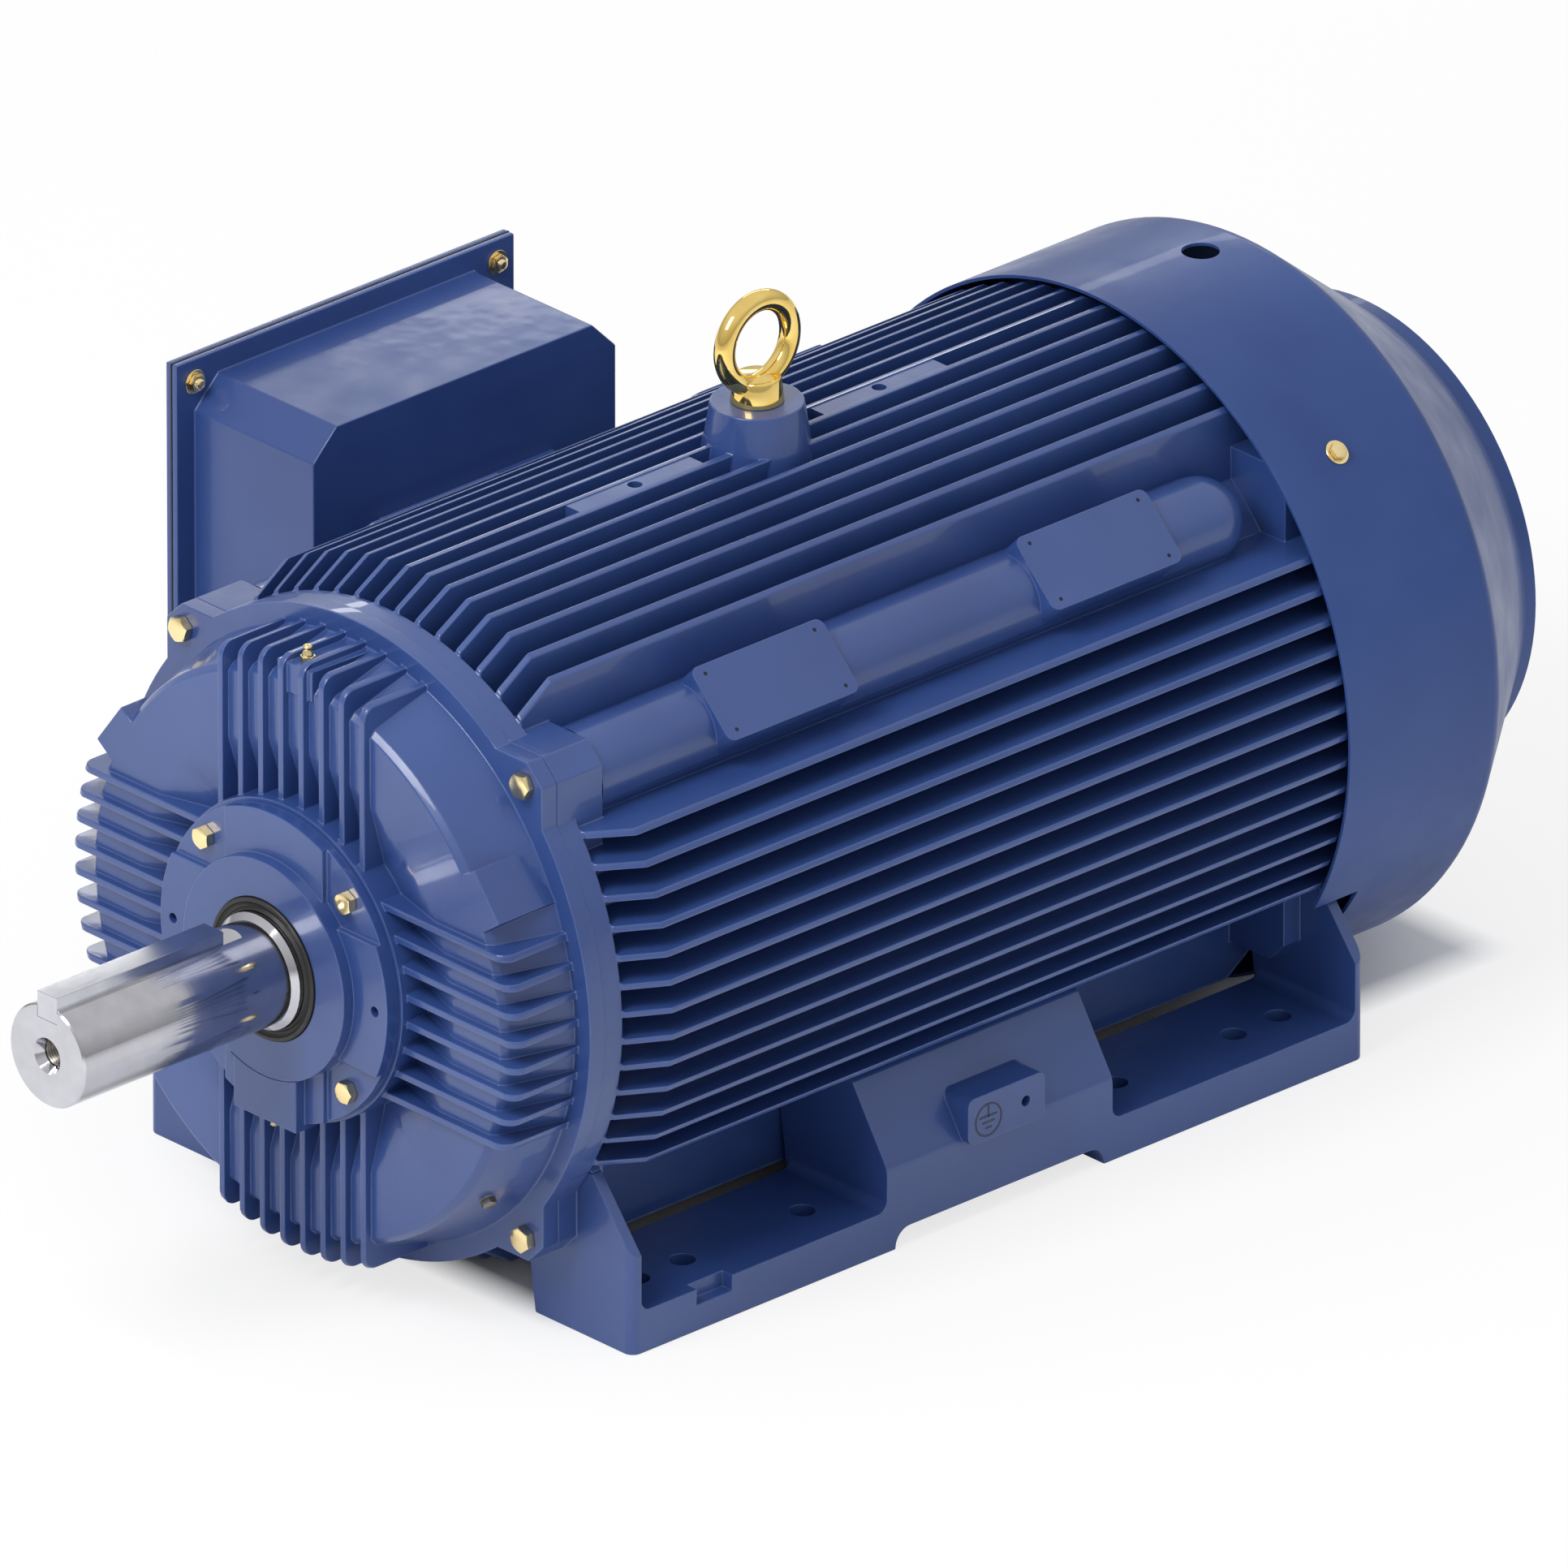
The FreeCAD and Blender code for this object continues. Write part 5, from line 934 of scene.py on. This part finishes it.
@dataclass
class RatingPlate:
    """The blank rating plate: satin middle, dark ends, raised rim and two drive rivets."""

    width: float = 52.0
    length: float = 118.0
    corner: float = 3.0
    edge: float = 0.25
    thickness: float = 0.8
    band: float = 13.0
    margin: float = 1.2
    rim_inset: float = 2.5
    rim_gap: float = 3.0
    sunk: float = 0.7
    rivet_inset: float = 5.0
    rivet: Profile = ((0.0, 0.6), (3.0, 0.6), (3.0, 1.1), (2.4, 1.9), (1.3, 2.4), (0.0, 2.5))

    def build(self) -> None:
        """Build the plate in place of its node, with its bands and rivets."""
        plate = slab(self.width, self.length, 0.0, self.thickness, self.corner, self.edge)
        plate, pad = joined(plate, *self.rim()), FRONT_LEFT_PAD
        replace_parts(finished("plate_blank", pad.on_face(plate), PLATE, Body.HOUSING), "rating_plate")
        finished("plate_bands", pad.on_face(joined(*self.bands())), PLATE_BAND, Body.HOUSING)
        place = self.length / 2 - self.rivet_inset
        rivets = [shifted(lathe(self.rivet, 28), 0.0, sign * place) for sign in (-1, 1)]
        finished("plate_rivets", pad.on_face(joined(*rivets)), PLATE, Body.HOUSING)

    def bands(self) -> list[Shape]:
        """The dark bands across both ends."""
        place = self.length / 2 - self.band / 2 - self.margin
        width, top, corner = self.width - 2 * self.margin, self.thickness + 0.08, 2.0
        return [shifted(slab(width, self.band, self.sunk, top, corner), 0.0, sign * place)
                for sign in (-1, 1)]

    def rim(self) -> list[Shape]:
        """The raised line round the middle field."""
        half_width = self.width / 2 - self.rim_inset
        half_length = self.length / 2 - self.band - self.rim_gap
        line, top, corner = 0.8, self.thickness + 0.18, 0.3
        sides = []
        for sign in (-1, 1):
            along = slab(line, 2 * half_length, self.sunk, top, corner)
            across = slab(2 * half_width, line, self.sunk, top, corner)
            sides += [shifted(along, sign * half_width, 0.0), shifted(across, 0.0, sign * half_length)]
        return sides


@dataclass
class EarthMark:
    """The common earth sign, a ring with a stem and three bars, on the earthing pads.

    bars holds the length and the height of each bar, from the top one down.
    """

    face: float = 283.0
    station: float = 4.5
    height: float = 84.5
    radius: float = 14.4
    line: float = 1.7
    sunk: float = -0.3
    proud: float = 0.18
    stem_length: float = 10.0
    stem_height: float = 7.4
    bars: Profile = ((19.0, 3.2), (13.0, -1.8), (7.0, -6.8))

    def build(self) -> None:
        """Build the sign on both feet."""
        for side, name in ((1, "right"), (-1, "left")):
            inner = self.radius - self.line
            ring = lathe(closed([(inner, self.sunk), (self.radius, self.sunk), (self.radius, self.proud),
                                 (inner, self.proud)]), 64)
            strokes = [self.stroke(self.line, self.stem_length, self.stem_height)]
            strokes += [self.stroke(length, self.line, height) for length, height in self.bars]
            mark = laid(joined(ring, *strokes), (side * self.face, self.station, self.height),
                        (0.0, float(side), 0.0), (0.0, 0.0, 1.0))
            # The sign is coloured dark as painted shade, so it reads as an engraved one.
            finished(f"earth_mark_{name}", mark, PAINTED_SHADE_MARK, Body.HOUSING)

    def stroke(self, width: float, length: float, height: float) -> Shape:
        """One straight line of the sign."""
        return shifted(slab(width, length, self.sunk, self.proud, 0.4), 0.0, height)


@dataclass
class DrainPlug:
    """The small hexagon plug low on the drum of the drive-end shield.

    It leans forward, by lean, as the drum's slope does.
    """

    angle: float = -39.3
    reach: float = 236.0
    station: float = FRAME_FRONT - 48.0
    lean: float = -0.25
    flats: float = 11.0
    head_base: float = 5.0
    head_top: float = 10.5
    body: Profile = ((0.0, -6.0), (5.0, -6.0), (5.0, 3.4), (6.8, 3.4), (7.0, 3.8), (7.0, 4.8), (6.6, 5.2),
                     (0.0, 5.2))

    def build(self) -> None:
        """Build the plug."""
        turn = math.radians(self.angle)
        way = (math.cos(turn), self.lean, math.sin(turn))
        seat = (self.reach * way[0], self.station, AXIS_HEIGHT + self.reach * way[2])
        head = hexagon(self.flats, self.head_base, self.head_top)
        plug = aimed(joined(head, lathe(self.body, 36)), seat, way, 10.0)
        finished("drain_plug", plug, PLUG_STEEL, Body.HOUSING)


@dataclass
class CentreThread:
    """The thread inside the tapped centre hole of the shaft, as rings from start to end."""

    start: float = 9.0
    end: float = 53.0
    outer: float = 10.72
    root: float = 10.62
    inner: float = 9.7
    pitch: float = 2.5

    def build(self) -> None:
        """Build the thread ridges."""
        profile = []
        depth = self.start
        while depth + self.pitch < self.end:
            profile += [(self.root, depth), (self.inner, depth + self.pitch / 2)]
            depth += self.pitch
        profile += [(self.root, depth), (self.outer, depth), (self.outer, self.start)]
        thread = aimed(lathe(closed(profile), 40), (0.0, SHAFT_END, AXIS_HEIGHT), (0.0, 1.0, 0.0))
        finished("centre_thread", thread, PLUG_STEEL, Body.ROTOR)


@dataclass
class RoundedCopy:
    """A node's solid with its edges rounded, as a casting's or a bent sheet's are.

    Edges that turn by more than turn degrees are rounded. Edges within crisp, a half width and a
    least height in metres, stay sharp, because they lie closer together than two rounds need.
    """

    node: str
    finish: Finish
    body: Body = Body.HOUSING
    radius: float = 1.2 * MM
    turn: float = 25.0
    crisp: Optional[tuple[float, float]] = None

    def rounds(self, edge: bmesh.types.BMEdge) -> bool:
        """Whether an edge is rounded."""
        if not edge.is_manifold or edge.calc_face_angle(0.0) <= math.radians(self.turn):
            return False
        if self.crisp is None:
            return True
        half_width, least_height = self.crisp
        return any(abs(corner.co.x) > half_width or corner.co.z < least_height for corner in edge.verts)

    def build(self) -> None:
        """Copy, clean and round the solid, with even shading on its flat faces."""
        shape = bmesh.new()
        shape.from_mesh(frame["nodes"][self.node].data)
        bmesh.ops.remove_doubles(shape, verts=shape.verts, dist=2 * SAME_POINT)
        bmesh.ops.dissolve_limit(shape, angle_limit=math.radians(0.5), verts=shape.verts, edges=shape.edges)
        keen = [edge for edge in shape.edges if self.rounds(edge)]
        bmesh.ops.bevel(shape, geom=keen, offset=self.radius, offset_type="OFFSET", affect="EDGES",
                        segments=2, profile=0.5, material=-1, clamp_overlap=False)
        piece = finished(f"{self.node}_cast", shape, self.finish, self.body)
        even = piece.modifiers.new("even_shading", "WEIGHTED_NORMAL")
        even.keep_sharp = True
        even.weight = 90
        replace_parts(piece, self.node)


@dataclass
class RoundedPieces:
    """The castings, the sheet pieces and the shaft key, as rounded copies of their nodes."""

    cast: tuple[str, ...] = ("foot_left", "foot_right", "drive_end_shield", "fan_end_shield", "drive_end_cap",
                             "fan_end_cap", "box_neck")
    fin_middle: tuple[float, float] = (10.5 * MM, 560.0 * MM)

    def build(self) -> None:
        """Build every copy."""
        RoundedCopy("frame_casting", CASTING, crisp=self.fin_middle).build()
        for node in self.cast:
            RoundedCopy(node, CASTING).build()
        RoundedCopy("terminal_box", SHEET, radius=1.5 * MM).build()
        RoundedCopy("terminal_lid", SHEET).build()
        RoundedCopy("fan_cover", COVER, radius=0.6 * MM).build()
        RoundedCopy("shaft_key", GROUND, Body.ROTOR, 0.6 * MM).build()


def dress_carried_nodes() -> None:
    """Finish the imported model's nodes by their slots in the record."""
    finishes = {
        Slot.BLUE: CASTING, Slot.ZINC: ZINC, Slot.STEEL: TURNED, Slot.BEARING: RACE, Slot.CORE: LAMINATION,
        Slot.COPPER: COPPER, Slot.RUBBER: RUBBER, Slot.FAN: FAN_PLASTIC, Slot.BLOCK: RESIN, Slot.PLATE: PLATE,
        Slot.CAGE: CAGE,
    }
    for entry in frame["record"]["subparts"]:
        dress_node(entry["node"], finishes[Slot(entry["material_slot"])])


@dataclass(frozen=True)
class Lamp:
    """A soft lamp: where it stands round the motor in degrees and metres, its sides and its power."""

    name: str
    azimuth: float
    elevation: float
    distance: float
    sides: tuple[float, float]
    watts: float


@dataclass
class Studio:
    """Floor, world, lamps and the camera at the photograph's long view.

    The world shows white to the camera and lights the motor at a plain level, sky. Glossy surfaces
    see it darken from mirrored, at the height sky_top, by the factor horizon at its foot. floor_glow
    is how much of the floor shows plain white to the camera, but for the stretch between the feet,
    where the motor's own shade stays.
    """

    azimuth: float = 46.87
    elevation: float = 25.5
    target: Point = (0.0177, 0.0360, 0.2696)
    width: float = 1.217
    lens: float = 1500.0
    sensor: float = 36.0
    far_end: float = 500.0
    sky: float = 0.76
    mirrored: float = 0.8
    sky_top: float = 0.6
    horizon: float = 0.55
    floor_half: float = 30.0
    floor_tones: tuple[Colour, Colour] = ((250, 250, 250), (247, 247, 247))
    floor_glow: float = 0.75
    feet_middle: tuple[float, float] = (0.0, 0.13)
    feet_reach: tuple[float, float] = (0.2, 0.49)
    feet_soft: float = 0.02
    lamps: tuple[Lamp, ...] = (
        Lamp("key", 5.0, 48.0, 4.0, (1.6, 1.6), 90.0),
        Lamp("back", 229.0, 24.0, 4.5, (2.6, 0.3), 13.0))

    def direction(self, azimuth: float, elevation: float) -> Vector:
        """The way from the motor to a place round it.

        Args:
            azimuth: Degrees round from straight in front, as the views count them.
            elevation: Degrees up.

        Returns:
            A unit vector.
        """
        turn, rise = math.radians(azimuth), math.radians(elevation)
        return Vector((math.sin(turn) * math.cos(rise), -math.cos(turn) * math.cos(rise), math.sin(rise)))

    def aim(self, name: str, data: bpy.types.ID, way: Vector, distance: float) -> bpy.types.Object:
        """Stand a camera or lamp off from the target, turned to face it.

        Args:
            name: The object's name.
            data: The camera's or lamp's own data.
            way: The direction from the target.
            distance: Metres from the target.

        Returns:
            The new object.
        """
        item = bpy.data.objects.new(name, data)
        item.location = Vector(self.target) + way * distance
        item.rotation_euler = way.to_track_quat("Z", "Y").to_euler()
        bpy.context.scene.collection.objects.link(item)
        return item

    def camera(self) -> None:
        """Place the camera far off, with a lens that makes the view near parallel."""
        data = bpy.data.cameras.new("camera")
        data.lens = self.lens
        data.sensor_width = self.sensor
        data.clip_end = self.far_end
        way = self.direction(self.azimuth, self.elevation)
        bpy.context.scene.camera = self.aim("camera", data, way, self.width / self.sensor * self.lens)

    def light(self, lamp: Lamp) -> None:
        """Set up one lamp."""
        data = bpy.data.lights.new(lamp.name, "AREA")
        data.shape = "RECTANGLE"
        data.size, data.size_y = lamp.sides
        data.energy = lamp.watts
        self.aim(lamp.name, data, self.direction(lamp.azimuth, lamp.elevation), lamp.distance)

    def world(self) -> None:
        """A pale sky: white to the camera, plain for lighting, and darker low down in reflections."""
        world = bpy.data.worlds.new("studio")
        bpy.context.scene.world = world
        world.use_nodes = True
        tree = world.node_tree
        tree.nodes.clear()
        seen, lit, mirrored = (tree.nodes.new("ShaderNodeBackground") for _ in range(3))
        for sky, tone, strength in ((seen, 1.0, 1.0), (lit, 1.0, self.sky), (mirrored, self.mirrored, 1.0)):
            sky.inputs["Color"].default_value = (tone, tone, tone, 1.0)
            sky.inputs["Strength"].default_value = strength
        height = tree.nodes.new("ShaderNodeSeparateXYZ")
        tree.links.new(tree.nodes.new("ShaderNodeTexCoord").outputs["Generated"], height.inputs["Vector"])
        fall = tree.nodes.new("ShaderNodeMapRange")
        fall.inputs["From Max"].default_value = self.sky_top
        fall.inputs["To Min"].default_value = self.horizon
        tree.links.new(height.outputs["Z"], fall.inputs["Value"])
        tree.links.new(fall.outputs["Result"], mirrored.inputs["Strength"])
        path = tree.nodes.new("ShaderNodeLightPath")
        under = lit.outputs["Background"]
        for ray, sky in (("Is Glossy Ray", mirrored), ("Is Transmission Ray", seen), ("Is Camera Ray", seen)):
            mix = tree.nodes.new("ShaderNodeMixShader")
            tree.links.new(path.outputs[ray], mix.inputs["Fac"])
            tree.links.new(under, mix.inputs[1])
            tree.links.new(sky.outputs["Background"], mix.inputs[2])
            under = mix.outputs["Shader"]
        tree.links.new(under, tree.nodes.new("ShaderNodeOutputWorld").inputs["Surface"])

    def under_motor(self, shader: Shader) -> Socket:
        """A mask on the floor, 1 between the feet of the motor and 0 away from it."""
        parts = shader.tree.nodes.new("ShaderNodeSeparateXYZ")
        shader.join(shader.place, parts.inputs["Vector"])
        sides = []
        for axis, middle, reach in zip("XY", self.feet_middle, self.feet_reach):
            far = shader.math("ABSOLUTE", shader.math("SUBTRACT", parts.outputs[axis], middle), 0.0)
            sides.append(shader.remap(far, reach + self.feet_soft, reach - self.feet_soft))
        return shader.math("MULTIPLY", sides[0], sides[1])

    def floor_material(self) -> bpy.types.Material:
        """Matt white that shows pale to the camera away from the motor's underside."""
        shader = Shader("floor_white")
        shader.settings(Roughness=0.9)
        tone = shader.remap(shader.noise(0.8, 2.0), NOISE_LOW, NOISE_HIGH)
        shader.join(shader.blend(tone, *self.floor_tones), shader.surface.inputs["Base Color"])
        path = shader.tree.nodes.new("ShaderNodeLightPath")
        glow = shader.tree.nodes.new("ShaderNodeEmission")
        glow.inputs["Strength"].default_value = 1.0
        mix = shader.tree.nodes.new("ShaderNodeMixShader")
        shown = shader.math("MULTIPLY", path.outputs["Is Camera Ray"], self.floor_glow)
        open_floor = shader.remap(self.under_motor(shader), 0.0, 1.0, 1.0, 0.0)
        shader.join(shader.math("MULTIPLY", shown, open_floor), mix.inputs["Fac"])
        shader.join(shader.surface.outputs["BSDF"], mix.inputs[1])
        shader.join(glow.outputs["Emission"], mix.inputs[2])
        shader.join(mix.outputs["Shader"], shader.output.inputs["Surface"])
        return shader.material

    def floor(self) -> None:
        """A wide floor under the feet."""
        shape = bmesh.new()
        bmesh.ops.create_grid(shape, x_segments=1, y_segments=1, size=self.floor_half)
        mesh = bpy.data.meshes.new("floor")
        shape.to_mesh(mesh)
        shape.free()
        mesh.materials.append(self.floor_material())
        floor = bpy.data.objects.new("floor", mesh)
        bpy.context.scene.collection.objects.link(floor)

    def build(self) -> None:
        """Set up everything round the motor."""
        bpy.context.scene.view_settings.view_transform = "Standard"
        self.world()
        self.floor()
        for lamp in self.lamps:
            self.light(lamp)
        self.camera()


def main() -> None:
    """Build the studio, then every part of the motor in order."""
    logging.basicConfig(level=logging.INFO, format="%(message)s")
    Studio().build()
    dress_carried_nodes()
    parts = (RoundedPieces(), Screws(), LiftingEye(), GreaseFittings(), ShaftSeal(), InletGuard(), PadHoles(),
             RatingPlate(), EarthMark(), DrainPlug(), CentreThread())
    for part in parts:
        part.build()
        LOG.info("%s built", type(part).__name__)


if __name__ == "__main__":
    main()
